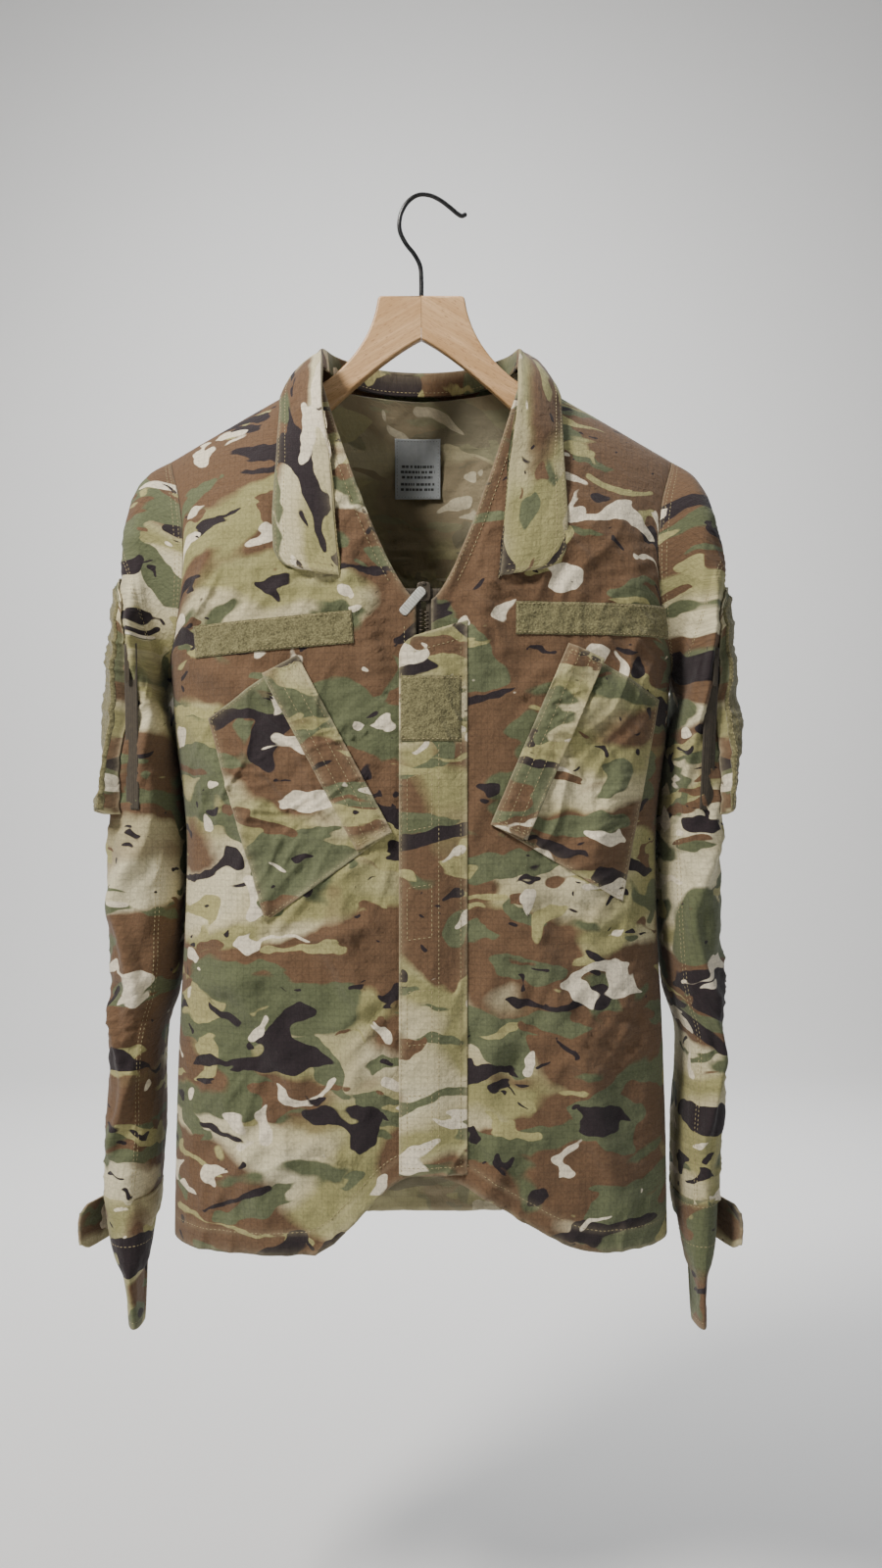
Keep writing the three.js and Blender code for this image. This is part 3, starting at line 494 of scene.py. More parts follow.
def pile(name, base, dark):
    """Nylon loop pile: dense matt loops about a millimetre across that catch light in specks."""
    material, tree, shader = new_material(name, Roughness=1.0, Sheen_Weight=0.25, Sheen_Roughness=0.5)
    shader.inputs["Specular IOR Level"].default_value = 0.2
    cut = add_node(tree, "UVMap", uv_map="cut")
    loops = add_node(tree, "TexVoronoi", {"Vector": cut, "Scale": 1 / bpy.context.scene.coat_sizes.loops})
    patchy = add_node(tree, "TexNoise", {"Vector": cut, "Scale": 160, "Detail": 5, "Roughness": 0.7})
    tone = add_node(tree, "Math", {0: loops, 1: 0.55, 2: patchy}, operation="MULTIPLY_ADD")
    tone = add_node(tree, "MapRange", {"Value": tone, "From Min": 0.45, "From Max": 1.05})
    tree.links.new(colour_mix(tree, tone, as_colour(base), linear(dark)), shader.inputs["Base Color"])
    bump = add_node(tree, "Bump", {"Strength": 0.8, "Distance": 0.0005, "Height": tone})
    tree.links.new(bump, shader.inputs["Normal"])
    return material


def woven(name, base, dark, pitch_mm=0.9, rough=0.85):
    """A close plain weave, such as tape, webbing or label cloth: fine ribs across, a shade darker between
    them."""
    material, tree, shader = new_material(name, Roughness=rough, Sheen_Weight=0.1)
    cut = add_node(tree, "UVMap", uv_map="cut")
    ribs = tree.nodes.new("ShaderNodeTexWave")
    ribs.inputs["Scale"].default_value = 1000 / pitch_mm / 6.283
    ribs.inputs["Distortion"].default_value = 0.6
    tree.links.new(cut, ribs.inputs["Vector"])
    wave = ribs.outputs["Fac"]
    stain = add_node(tree, "TexNoise", {"Vector": cut, "Scale": 240, "Detail": 4, "Roughness": 0.65})
    tone = add_node(tree, "Math", {0: wave, 1: 0.35, 2: stain}, operation="MULTIPLY_ADD")
    tone = add_node(tree, "MapRange", {"Value": tone, "From Min": 0.35, "From Max": 1.0})
    tree.links.new(colour_mix(tree, tone, linear(dark), as_colour(base)), shader.inputs["Base Color"])
    bump = add_node(tree, "Bump", {"Strength": 0.5, "Distance": 0.00025, "Height": wave})
    tree.links.new(bump, shader.inputs["Normal"])
    return material


def plain(name, base, dark, metallic=0.0, rough=0.45, speckle=260, level=0.5, coat=0.0):
    """A coated or moulded surface with faint mottling and scuffs, from one object-space noise."""
    material, tree, shader = new_material(name, Metallic=metallic, Roughness=rough, Coat_Weight=coat)
    where = tree.nodes.new("ShaderNodeTexCoord").outputs["Object"]
    spots = add_node(tree, "TexNoise", {"Vector": where, "Scale": speckle, "Detail": 5, "Roughness": 0.65})
    worn = add_node(tree, "MapRange", {"Value": spots, "From Min": level, "From Max": level + 0.22})
    tree.links.new(colour_mix(tree, worn, linear(base), linear(dark)), shader.inputs["Base Color"])
    gloss = add_node(tree, "MapRange",
                     {"Value": spots, "From Min": 0.3, "From Max": 0.7, "To Min": rough - 0.08,
                      "To Max": rough + 0.14})
    tree.links.new(gloss, shader.inputs["Roughness"])
    bump = add_node(tree, "Bump", {"Strength": 0.35, "Distance": 0.00015, "Height": spots})
    tree.links.new(bump, shader.inputs["Normal"])
    return material


def beech(name, sign):
    """Beech board under a satin lacquer: pale pinkish brown, straight fine grain running out along each
    arm, with short dark flecks where the rays are cut. The two halves mirror each other at the glue
    line."""
    material, tree, shader = new_material(name, Roughness=0.42, Coat_Weight=0.12, Coat_Roughness=0.3)
    where = tree.nodes.new("ShaderNodeTexCoord").outputs["Object"]
    along = scaled(tree, where, (1, 1, 1), (0, 0, 0), (0, math.radians(-30 * sign), 0))
    figure = add_node(tree, "TexNoise",
                      {"Vector": scaled(tree, along, (9, 60, 130)), "Scale": 1.0, "Detail": 3,
                       "Distortion": 0.6})
    grain = add_node(tree, "TexNoise",
                     {"Vector": scaled(tree, along, (28, 400, 900)), "Scale": 1.0, "Detail": 3})
    flecks = add_node(tree, "TexNoise",
                      {"Vector": scaled(tree, along, (190, 900, 1500)), "Scale": 1.0, "Detail": 1})
    wide = add_node(tree, "MapRange", {"Value": figure, "From Min": 0.35, "From Max": 0.66})
    colour = colour_mix(tree, wide, tuple(bpy.context.scene.coat_colours.wood), linear("#C39B6C"))
    fine = add_node(tree, "MapRange", {"Value": grain, "From Min": 0.42, "From Max": 0.68, "To Max": 0.55})
    colour = colour_mix(tree, fine, colour, linear("#B58A5B"))
    dots = add_node(tree, "MapRange", {"Value": flecks, "From Min": 0.62, "From Max": 0.68, "To Max": 0.6})
    colour = colour_mix(tree, dots, colour, linear("#8E6740"))
    tree.links.new(colour, shader.inputs["Base Color"])
    bump = add_node(tree, "Bump", {"Strength": 0.25, "Distance": 0.0002, "Height": grain})
    tree.links.new(bump, shader.inputs["Normal"])
    return material


MATERIALS = {}


def finish_of(name):
    """Each finish is made once, when the first piece asks for it."""
    paint = bpy.context.scene.coat_colours
    makers = {
        "ripstop": lambda: camouflage("printed ripstop"),
        "ripstop inside": lambda: camouflage("ripstop inner face", 0.5),
        "loop pile": lambda: pile("nylon loop pile", tuple(paint.loop_pile), "#57533A"),
        "thread": lambda: woven("spun sewing thread", tuple(paint.thread), "#9A8E68", 0.6),
        "dark thread": lambda: woven("dark sewing thread", "#5B5F60", "#3E4142", 0.6),
        # Painted shade: the zip tapes are coloured dark brown, darker than their own khaki, so that the
        # sleeve zips look shaded.
        "zip tape": lambda: woven("zip tape darkened as painted shade", "#4A4234", "#2F2A22", 1.0),
        "pull webbing": lambda: woven("grey webbing", "#C6C7BF", "#94958D", 1.1),
        "label cloth": lambda: woven("woven label satin", "#B9BFC2", "#A2A9AD", 0.5, 0.7),
        "acetal": lambda: plain("moulded acetal", "#4A4135", "#5E5444", 0, 0.4),
        "zinc": lambda: plain("enamelled zinc", "#4D463B", "#8A8270", 0.35, 0.42, 500, 0.62),
        "wire": lambda: plain("black coated wire", "#0E0E10", "#1B1B1E", 0, 0.28, 700, 0.5, 0.3),
        "beech right": lambda: beech("lacquered beech right", -1),
        "beech left": lambda: beech("lacquered beech left", 1),
    }
    if name not in MATERIALS:
        MATERIALS[name] = makers[name]()
    return MATERIALS[name]


# ---- fronts and back ----


def front_edge(z, sign):
    """Distance of a front's edge from the middle: the neck opening's V above, the zip below."""
    opened = np.clip((z - V_POINT_Z) / (NECK_Z - V_POINT_Z), 0, 1)
    return mix(5.9 + sign * ZIP_X, NECK_X, opened**0.72)


def front_hem(x, sign):
    """Height of the hem: it swings up to the middle, over a longer run on the left front."""
    return mix(-798, -861, smooth(x, 8, 92 if sign < 0 else 150) ** (1 if sign < 0 else 0.85))


def flat_uv(points, offset, keep_x=None):
    """Where each point lay on the flat cloth, in millimetres: lengths run along the rows and up the
    columns."""
    step = np.linalg.norm(np.diff(points, axis=1), axis=2)
    across = np.concatenate([np.zeros((points.shape[0], 1)), np.cumsum(step, 1)], 1)
    if keep_x is not None:
        across = keep_x[0] * across + keep_x[1]
    rise = np.linalg.norm(np.diff(points[::-1], axis=0), axis=2)
    up = np.concatenate([np.zeros((1, points.shape[1])), np.cumsum(rise, 0)], 0)[::-1]
    up = points[-1:, :, 2] + up
    return np.stack([across + offset[0], up + offset[1]], -1)


def front_grid(sign, columns, rows):
    """Points x and z of a front: columns run from the front edge to the side, rows from the shoulder to the
    hem."""
    share = np.sin(np.linspace(0, np.pi / 2, columns))[None, :]
    top = shoulder_line(mix(NECK_X, SHOULDER_X, share))
    for _ in range(8):
        top = shoulder_line(mix(front_edge(top, sign), side_x(top), share))
    v = np.linspace(0, 1, rows)[:, None] ** 1.3
    hem = front_hem(mix(9, 203, share), sign)
    z = mix(top, hem, v)
    x = mix(front_edge(z, sign), side_x(z), share)
    return sign * x, z, hem


def make_front(side):
    """A front: the body curve with its folds, a doubled hem, and edges turned in and topstitched."""
    sign = -1 if side == "right" else 1
    x, z, hem = front_grid(sign, 118, 250)
    band = 1 - smooth(z - hem, 17, 19.5)
    turned = 1 - smooth(np.abs(x) - front_edge(z, sign), 6, 8)
    raised = 0.55 * np.maximum(band, turned * (z > V_POINT_Z - 20))
    points = front_at(x, z, raised + 0 * x)
    bare = np.stack([x, -body_depth(x, z, -1), z], -1)
    start = sign * np.abs(x[:, :1])
    uv = flat_uv(bare, (420, -220) if side == "right" else (1240, 120), (sign, start))
    u = np.linspace(0, 1, x.shape[1])[None, :] + 0 * x
    wear = np.maximum(np.exp(-np.abs(z - hem) / 2.2), np.exp(-np.abs(z - hem - 18) / 1.4) * 0.7)
    wear = np.maximum(wear, np.exp(-(np.abs(x) - front_edge(z, sign)) / 2.2) * 0.8) + 0 * u
    mesh = face_out(sheet_mesh(f"front_{side}", points, uv, wear=wear), (0, -1, 0))
    piece = place(f"front_{side}", mesh, ("ripstop", "ripstop inside"), "coat",
                  f"front_panel_{side}", slot="cloth")
    thicken(piece)
    return piece


def make_back():
    """The back in one piece with two bellows pleats behind the arms, its hem turned up."""
    columns, rows = 168, 240
    share = np.sin(np.linspace(-np.pi / 2, np.pi / 2, columns))[None, :]
    top = shoulder_line(SHOULDER_X * share)
    for _ in range(8):
        top = shoulder_line(side_x(top) * share)
    neck = NECK_Z - 6 * np.sqrt(np.maximum(1 - (SHOULDER_X * share / NECK_X) ** 2, 0))
    top = np.minimum(top, neck)
    z = mix(top, BACK_HEM_Z, np.linspace(0, 1, rows)[:, None] ** 1.3)
    x = side_x(z) * share
    pleat = np.abs(x) - mix(150, 138, smooth(-z, 240, 560))
    step = 1.6 * smooth(pleat, -1.2, 1.2) * smooth(-z, 225, 260) * (1 - smooth(-z, 540, 600))
    band = 0.55 * (1 - smooth(z - BACK_HEM_Z, 17, 19.5))
    yoke = 0.7 * (1 - smooth(-z, 246, 248.5))
    points = back_at(x, z, band + step + yoke)
    uv = flat_uv(np.stack([x, body_depth(x, z, 1), z], -1), (0, -1100), (1, -210))
    wear = np.maximum(np.exp(-np.abs(z - BACK_HEM_Z) / 2.2), 0.6 * np.exp(-np.abs(pleat) / 1.8)) + 0 * x
    mesh = face_out(sheet_mesh("back", points, uv, wear=wear), (0, 1, 0))
    piece = place("back", mesh, ("ripstop", "ripstop inside"), "coat", "back_panel",
                  slot="cloth")
    thicken(piece)
    return piece


# ---- sleeves ----

SLEEVES = {
    "right": ((224, -238, 208, -408, 58), (238, -262, 210, -418, 62), (244, -302, 211, -430, 64),
              (243, -362, 206, -446, 64), (241, -425, 201, -470, 63), (249, -519, 196.5, -519, 60),
              (259, -575, 196, -575, 58), (253, -656, 201.5, -656, 56), (256, -704, 214, -704, 54),
              (259, -777, 215, -777, 52), (261, -833, 219, -833, 50)),
    "left": ((226, -240, 208, -408, 58), (240, -266, 210, -418, 62), (247, -310, 211, -430, 64),
             (247, -366, 205.5, -446, 64), (246, -425, 200.5, -470, 63), (245, -519, 196.5, -519, 60),
             (246, -575, 196, -575, 58), (248, -656, 201.5, -656, 56), (249, -704, 214, -704, 54),
             (247, -777, 210, -777, 52), (244, -833, 210, -833, 50)),
}
SLEEVE_FOLDS = {"right": ((5.1, -1.2, 6.6, -0.3, 9), (6.2, -1.9, 7.6, -0.5, 10), (7.0, -0.9, 8.6, -1.9, 9),
                          (4.2, -2.2, 5.8, -1.4, 8), (8.2, -0.6, 9.6, -1.6, 8), (9.2, -1.9, 10.4, -0.8, 8),
                          (6.8, 1.0, 8.2, 2.1, 10), (5.4, 2.3, 6.6, 1.1, 9), (8.4, 2.2, 9.8, 1.0, 9),
                          (2.2, -1.6, 4.6, -1.25, 9)),
                "left": ((5.0, -0.4, 6.5, -1.4, 9), (6.1, -0.6, 7.5, -1.9, 10), (7.2, -1.9, 8.5, -0.9, 9),
                         (4.3, -1.4, 5.9, -2.2, 8), (8.1, -1.7, 9.5, -0.6, 8), (9.1, -0.8, 10.3, -1.9, 8),
                         (6.7, 2.1, 8.1, 1.0, 10), (5.5, 1.1, 6.7, 2.3, 9), (8.3, 1.0, 9.7, 2.2, 9),
                         (2.4, -1.3, 4.7, -1.6, 9))}


def sleeve_at(side, ring, angle, lift=0.0, folded=True):
    """A point on a sleeve's outside. Ring counts stations from the armhole, and angle runs from the outer
    side (0) through the back to the inner side (pi) and round the front. Each station is a squared oval
    between an outer and an inner point, and neighbouring stations join by a cubic curve."""
    ring, angle, lift = np.broadcast_arrays(np.asarray(ring, float), np.asarray(angle, float),
                                            np.asarray(lift, float))
    sign = -1 if side == "right" else 1
    across, around = np.cos(angle), np.sin(angle)
    share = (1 + across) / 2
    reach = np.sign(around) * np.abs(around) ** 0.8
    hole_z = mix(ARMPIT_Z, SHOULDER_Z, share)
    hole_x = armhole_x(hole_z)
    hole = np.stack([hole_x + 0.3,
                     np.where(around < 0, -1, 1) * body_depth(hole_x, hole_z, np.where(around < 0, -1, 1)),
                     hole_z], -1)
    stations = np.array(SLEEVES[side], float)

    def station(k):
        k = np.clip(k, 0, len(stations))
        row = stations[np.maximum(k - 1, 0)]
        oval = np.stack([mix(row[..., 2], row[..., 0], share), row[..., 4] * reach,
                         mix(row[..., 3], row[..., 1], share)], -1)
        return np.where((k == 0)[..., None], hole, oval)

    low = np.clip(np.floor(ring).astype(int), 0, len(stations) - 1)
    t = (ring - low)[..., None]
    p0, p1, p2, p3 = station(low - 1), station(low), station(low + 1), station(low + 2)
    a, b = (p2 - p0) / 2, (p3 - p1) / 2
    at = (1 + 2 * t) * (1 - t) ** 2 * p1 + t * t * (3 - 2 * t) * p2
    at = at + t * (1 - t) ** 2 * a + t * t * (t - 1) * b
    out = lift + 0 * ring
    if folded:
        girth, down = angle * 46, -at[..., 2]
        for r0, a0, r1, a1, width in SLEEVE_FOLDS[side]:
            wrap = np.where(angle > np.pi, angle - 2 * np.pi, angle)
            out = out + fold(wrap * 46, ring * 56, (a0 * 46, r0 * 56), (a1 * 46, r1 * 56), width, 7.5)
        seed = 60 if sign < 0 else 80
        around_x, around_y = 46 * across, 46 * around
        crush = 3.3 * noise(around_x / 26 + 3, down / 34 + around_y / 30, seed)
        crush = crush + 2.2 * creases(around_y + 0.6 * around_x, down, seed + 1, 28, 70, 17)
        crush = crush + 2.0 * creases(around_y - 0.6 * around_x, down, seed + 2, -34, 60, 15)
        free = smooth(ring, 0.5, 2.2)
        inner = 1 - 0.86 * smooth(-across, 0.25, 0.85)
        fine = 0.45 * noise(girth / 8, down / 9, seed + 3) + 0.2 * noise(girth / 4, down / 4.5, seed + 4)
        fine = fine * np.abs(np.sin(angle / 2)) ** 0.3
        out = out * free * inner + crush * free * inner + fine * 0.8 - lift * free * inner + lift
    direction = np.stack([across, reach, 0 * across], -1)
    direction = direction / np.linalg.norm(direction, axis=-1, keepdims=True)
    at = at + direction * out[..., None]
    at[..., 0] *= sign
    return at


def make_sleeve(side):
    """A sleeve: one tube, with its cap set in the armhole and a lapped seam under the arm."""
    columns, rows = 132, 232
    angle = np.linspace(0, 2 * np.pi, columns + 1)[None, :]
    ring = (np.linspace(0, 1, rows)[:, None] ** 0.92) * 11
    every = sleeve_at(side, ring, angle)
    bare = sleeve_at(side, ring, angle, 0, folded=False)
    uv = flat_uv(bare, (1500, 300) if side == "right" else (2460, 520), (1, 0))
    wear = 0.7 * np.exp(-ring / 0.05) + 0 * angle
    mesh = sheet_mesh(f"sleeve_{side}", every[:, :-1], uv, closed=True, wear=wear[:, :-1])
    face_out_tube(mesh)
    piece = place(f"sleeve_{side}", mesh, ("ripstop", "ripstop inside"), "coat",
                  f"sleeve_{side}", slot="cloth")
    thicken(piece)
    return piece


def face_out_tube(mesh):
    """Turns a tube's faces over if they look towards its own middle."""
    count = len(mesh.polygons)
    normals, centres = np.empty(count * 3), np.empty(count * 3)
    mesh.polygons.foreach_get("normal", normals)
    mesh.polygons.foreach_get("center", centres)
    normals, centres = normals.reshape(-1, 3), centres.reshape(-1, 3)
    band = np.round(centres[:, 2] * 25)
    middle = np.zeros_like(centres)
    for level in np.unique(band):
        middle[band == level] = centres[band == level].mean(0)
    away = centres - middle
    if (normals * away).sum() < 0:
        mesh.flip_normals()
    return mesh


cuff_taper = track([(0, 1), (0.35, 0.86), (0.52, 0.68), (0.62, 0.42), (0.72, 0.34), (1, 0.32)])


def cuff_at(side, angle, v, lift=0.0):
    """A cuff: a flattened oval whose lower edge slants from a long front to a short back."""
    outer, _, inner, _, depth = SLEEVES[side][-1]
    sign, drift = (-1, -10) if side == "right" else (1, 0)
    across, around = np.cos(angle), np.sin(angle)
    reach = np.sign(around) * np.abs(around) ** 0.8
    y = (depth + 1.5) * reach
    bottom = mix(-932, -884, smooth((y / depth + 1) / 2, 0.24, 0.46))
    half = ((outer - inner) / 2 + 1) * cuff_taper(v)
    x = (outer + inner) / 2 + drift * v * (1 - y / depth) * 0.5 + half * across
    z = mix(-829, bottom, v)
    crumple = 0.8 * noise(angle * 3, v * 4, 90) + 0.4 * noise(angle * 9, v * 9, 91)
    push = lift + crumple * np.sin(np.pi * np.clip(v, 0, 1)) * np.abs(np.sin(angle / 2)) ** 0.3
    return np.stack([sign * (x + across * push), y + reach * push, z + 0 * x], -1)


def make_cuff(side):
    """A cuff band with a turned edge along the bottom."""
    angle = np.linspace(0, 2 * np.pi, 129)[None, :]
    v = np.linspace(0, 1, 60)[:, None]
    lift = 0.5 * (v > 0.86) + 0 * angle
    points = cuff_at(side, angle, v, lift)
    uv = flat_uv(cuff_at(side, angle, v), (2700, 500 if side == "right" else 900), (1, 0))
    wear = np.maximum(np.exp(-(1 - v) / 0.03), 0.5 * np.exp(-v / 0.03)) + 0 * angle
    mesh = face_out_tube(sheet_mesh(f"cuff_{side}", points[:, :-1], uv, closed=True, wear=wear[:, :-1]))
    piece = place(f"cuff_{side}", mesh, ("ripstop", "ripstop inside"), "coat", f"cuff_{side}",
                  slot="cloth")
    thicken(piece, 1.5)
    return piece


# ---- pieces sewn on ----


def slab(name, outer, inner, uv, wear=None):
    """A closed thin solid between an outer and an inner grid of points, with walls all round."""
    rows, cols = outer.shape[:2]
    index = np.arange(rows * cols).reshape(rows, cols)
    below = index + rows * cols
    front = np.stack([index[:-1, :-1], index[1:, :-1], index[1:, 1:], index[:-1, 1:]], -1).reshape(-1, 4)
    back = np.stack([below[:-1, :-1], below[:-1, 1:], below[1:, 1:], below[1:, :-1]], -1).reshape(-1, 4)
    rim = np.concatenate([index[0, :], index[1:, -1], index[-1, -2::-1], index[-2:0:-1, 0]])
    after = np.roll(rim, -1)
    walls = np.stack([rim, after, after + rows * cols, rim + rows * cols], -1)
    faces = np.concatenate([front, back, walls])
    mesh = bpy.data.meshes.new(name)
    points = np.concatenate([outer.reshape(-1, 3), inner.reshape(-1, 3)])
    mesh.from_pydata((points / 1000).tolist(), [], faces.tolist())
    layer = mesh.uv_layers.new(name="cut")
    flat = np.concatenate([uv.reshape(-1, 2), uv.reshape(-1, 2)])
    layer.data.foreach_set("uv", (flat[faces.reshape(-1)] / 1000).ravel())
    if wear is not None:
        worn = np.concatenate([wear.ravel(), wear.ravel()]).astype(np.float32)
        mesh.attributes.new("wear", "FLOAT", "POINT").data.foreach_set("value", worn)
    mesh.polygons.foreach_set("use_smooth", np.ones(len(faces), bool))
    mesh.update()
    mesh_out(mesh)
    return mesh


def signed_volume(mesh):
    """The volume inside a mesh, negative where its faces look inwards: a sum of tetrahedra from one
    corner."""
    mesh.calc_loop_triangles()
    corners = np.empty(len(mesh.loop_triangles) * 3, int)
    mesh.loop_triangles.foreach_get("vertices", corners)
    points = np.empty(len(mesh.vertices) * 3)
    mesh.vertices.foreach_get("co", points)
    a, b, c = (points.reshape(-1, 3)[corners.reshape(-1, 3)[:, k]] for k in range(3))
    return float((a * np.cross(b, c)).sum())


def mesh_out(mesh):
    """Turns a closed mesh's faces over if they look inwards."""
    if signed_volume(mesh) < 0:
        mesh.flip_normals()


def quad_xz(corners, u, v):
    """x and z inside four corners: the top and bottom of the first edge, then of the second."""
    a, b, c, d = (np.array(p, float) for p in corners)
    return tuple(mix(mix(a[k], b[k], v), mix(c[k], d[k], v), u) for k in (0, 1))


def rounded(u, v, su, sv, radius, corners):
    """Draws the chosen corners of a patch in round: the grid is pulled in along v where it meets a corner's
    arc. corners holds (u end, v end) pairs."""
    u, v = np.broadcast_arrays(u, v)
    u = u.copy()
    for end_u, end_v in corners:
        away = np.abs(v - end_v) * sv
        bite = radius - np.sqrt(np.maximum(radius**2 - np.maximum(radius - away, 0) ** 2, 0))
        pull = np.clip(bite / su, 0, 0.45)
        u = u + (pull * (1 - u) if end_u == 0 else -pull * u)
    return u, v


def front_patch(name, corners, lift, thick, columns, rows, offset, around=0.0, arcs=(), sizes=(1, 1),
                radius=0):
    """A patch sewn on the front: it follows the cloth under it at a lift, puffed a little between its
    seams."""
    u, v = np.meshgrid(np.linspace(0, 1, columns), np.linspace(0, 1, rows))
    if arcs:
        u, v = rounded(u, v, sizes[0], sizes[1], radius, arcs)
    x, z = quad_xz(corners, u, v)
    puff = around * np.sin(np.pi * u) ** 0.6 * np.sin(np.pi * v) ** 0.6
    rise = lift(u, v) if callable(lift) else lift
    thin = np.minimum(np.minimum(u, 1 - u) * sizes[0], np.minimum(v, 1 - v) * sizes[1])
    turned = 0.35 * np.exp(-((thin - 1.0) / 0.9) ** 2)
    outer = front_at(x, z, rise + thick + puff + turned)
    inner = front_at(x, z, rise)
    wear = edge_wear(u, v, *sizes) if sizes != (1, 1) else 0 * u
    uv = np.stack([x + offset[0], z + offset[1]], -1)
    return slab(name, outer, inner, uv, wear)


POCKETS = {
    "right": {"hinge": ((-95, -394.5), (-21, -532)), "out": (-0.883, -0.47), "down": (-0.79, -0.61)},
    "left": {"hinge": ((115.5, -385), (54.5, -526)), "out": (0.918, -0.397), "down": (0.84, -0.54)},
}


def turned_rectangle(x, z, width, height, degrees):
    c, s = math.cos(math.radians(degrees)), math.sin(math.radians(degrees))
    return [(x + (i * width * c - j * height * s) / 2, z + (i * width * s + j * height * c) / 2)
            for i, j in ((-1, 1), (-1, -1), (1, 1), (1, -1))]


def pile_grain(u, v, seed):
    """Uneven loop tips, a few tenths of a millimetre high."""
    return 0.5 * noise(u / 1.7, v / 1.7, seed) + 0.35 * noise(u / 6, v / 6, seed + 1)


def make_name_tape(side):
    """A strip of loop pile over a chest pocket."""
    x0, z0, turn = NAME_TAPES[side]
    corners = turned_rectangle(x0, z0, TAPE_LONG, TAPE_TALL, turn)
    u, v = np.meshgrid(np.linspace(0, 1, 150), np.linspace(0, 1, 34))
    x, z = quad_xz(corners, u, v)
    across, down = u * TAPE_LONG, v * TAPE_TALL
    thin = np.minimum(np.minimum(u, 1 - u) * TAPE_LONG, np.minimum(v, 1 - v) * TAPE_TALL)
    rise = 1.0 + 0.9 * smooth(thin, 0.3, 2.4) + pile_grain(across, down, 7) * smooth(thin, 0.5, 3)
    mesh = slab(f"name_tape_loop_{side}", front_at(x, z, rise), front_at(x, z, 0.4),
                np.stack([across, down], -1))
    return place(f"name_tape_{side}", mesh, "loop pile", "coat", f"name_tape_loop_{side}", slot="loop_pile")


def step_from(point, way, by):
    return (point[0] + way[0] * by, point[1] + way[1] * by)


def pocket_lines(side):
    """The corners of a chest pocket's bag and of its flap, from the flap's sewn edge."""
    pocket = POCKETS[side]
    top, bottom = pocket["hinge"]
    flap = [top, bottom, step_from(top, pocket["out"], 31), step_from(bottom, pocket["out"], 31)]
    bag = [step_from(top, pocket["out"], 6), step_from(bottom, pocket["out"], 6),
           step_from(flap[2], pocket["down"], 56), step_from(flap[3], pocket["down"], 91)]
    return bag, flap


def flap_bend(side):
    """The coat, the flap's own body, the top of a chest flap's sewn edge and a point 11 mm out from it, as
    the body that place takes for the flap.
    """
    (x, z), out = POCKETS[side]["hinge"][0], POCKETS[side]["out"]
    start = np.array((x, -100, z)) / 1000
    return "coat", f"flap_{side}", tuple(start), tuple(start + np.array((out[0], 0, out[1])) * 0.011)


def flap_lift(u, v):
    """A chest flap rises from its sewn edge to lie over the pocket, and its free edge ripples."""
    return mix(0.8, 3.4, smooth(u, 0, 0.25)) + 1.2 * smooth(u, 0.6, 1) * noise(v * 3.2, 0.3, 21) + 0.4


def make_chest_pocket(side):
    """A slanted bag pocket and its flap. The flap is two layers thick with two long rows of stitching."""
    bag, flap = pocket_lines(side)
    shift = (40, 330) if side == "right" else (930, -280)
    mesh = front_patch(f"chest_pocket_{side}", bag, 0.5, 0.7, 90, 100, shift, around=1.6, sizes=(95, 158))
    bag_piece = place(f"chest_pocket_{side}", mesh, "ripstop", "coat", f"chest_pocket_{side}", slot="cloth")
    mesh = front_patch(f"pocket_flap_{side}", flap, flap_lift, 1.5, 34, 120, (shift[0] + 210, shift[1] - 95),
                       sizes=(31, 156))
    piece = place(f"pocket_flap_{side}", mesh, "ripstop", flap_bend(side), f"pocket_flap_{side}",
                  slot="cloth")
    return bag_piece, piece


FLY_SEWN, FLY_FREE, FLY_TOP, FLY_LONG = 37, -16, -382, 415
FLY_WIDE = FLY_SEWN - FLY_FREE
FLY = ((FLY_SEWN, -368), (FLY_SEWN, -797), (FLY_FREE, -384), (FLY_FREE, -797))
RANK_PATCH = 50.8
fly_rise = track([(0, -0.6), (0.05, 0.1), (0.3, 3.6), (0.55, 5.6), (0.8, 5.4), (1, 3.4)])


def fly_lift(u, v):
    """The fly lies on the cloth at its sewn edge, arches over the zip and dips to its free edge, which
    ripples."""
    return fly_rise(u) + smooth(u, 0.5, 1) * (1.3 * noise(v * 9.5, 0.4, 31) + 0.6 * noise(v * 21, 0.7, 33))


def make_fly():
    """The fly flap over the zip: two layers, free on the wearer's right, sewn along the left."""
    mesh = front_patch("fly", FLY, fly_lift, 1.3, 54, 230, (790, 60), arcs=((1, 0),),
                       sizes=(FLY_WIDE, FLY_LONG), radius=13)
    piece = place("fly", mesh, "ripstop", "fly", "fly_flap", slot="cloth")
    u, v = np.meshgrid(np.linspace(0, 1, 64), np.linspace(0, 1, 64))
    across = mix(5 / FLY_WIDE, 51.8 / FLY_WIDE, 1 - u)
    x = mix(FLY_SEWN, FLY_FREE, across)
    z = mix(-411, -411 - RANK_PATCH, v)
    base = fly_lift(across, (FLY_TOP - z) / FLY_LONG)
    thin = np.minimum(np.minimum(u, 1 - u), np.minimum(v, 1 - v)) * RANK_PATCH
    grain = pile_grain(u * 50, v * 50, 17) * smooth(thin, 0.5, 3)
    rise = base + 1.7 + 0.9 * smooth(thin, 0.3, 2.2) + grain
    mesh = slab("rank_loop", front_at(x, z, rise), front_at(x, z, base + 1.5),
                np.stack([u, v], -1) * RANK_PATCH)
    patch = place("rank_loop_patch", mesh, "loop pile", "fly", "rank_loop", slot="loop_pile")
    return piece, patch


# ---- sleeve pockets, elbows and cuff tabs ----


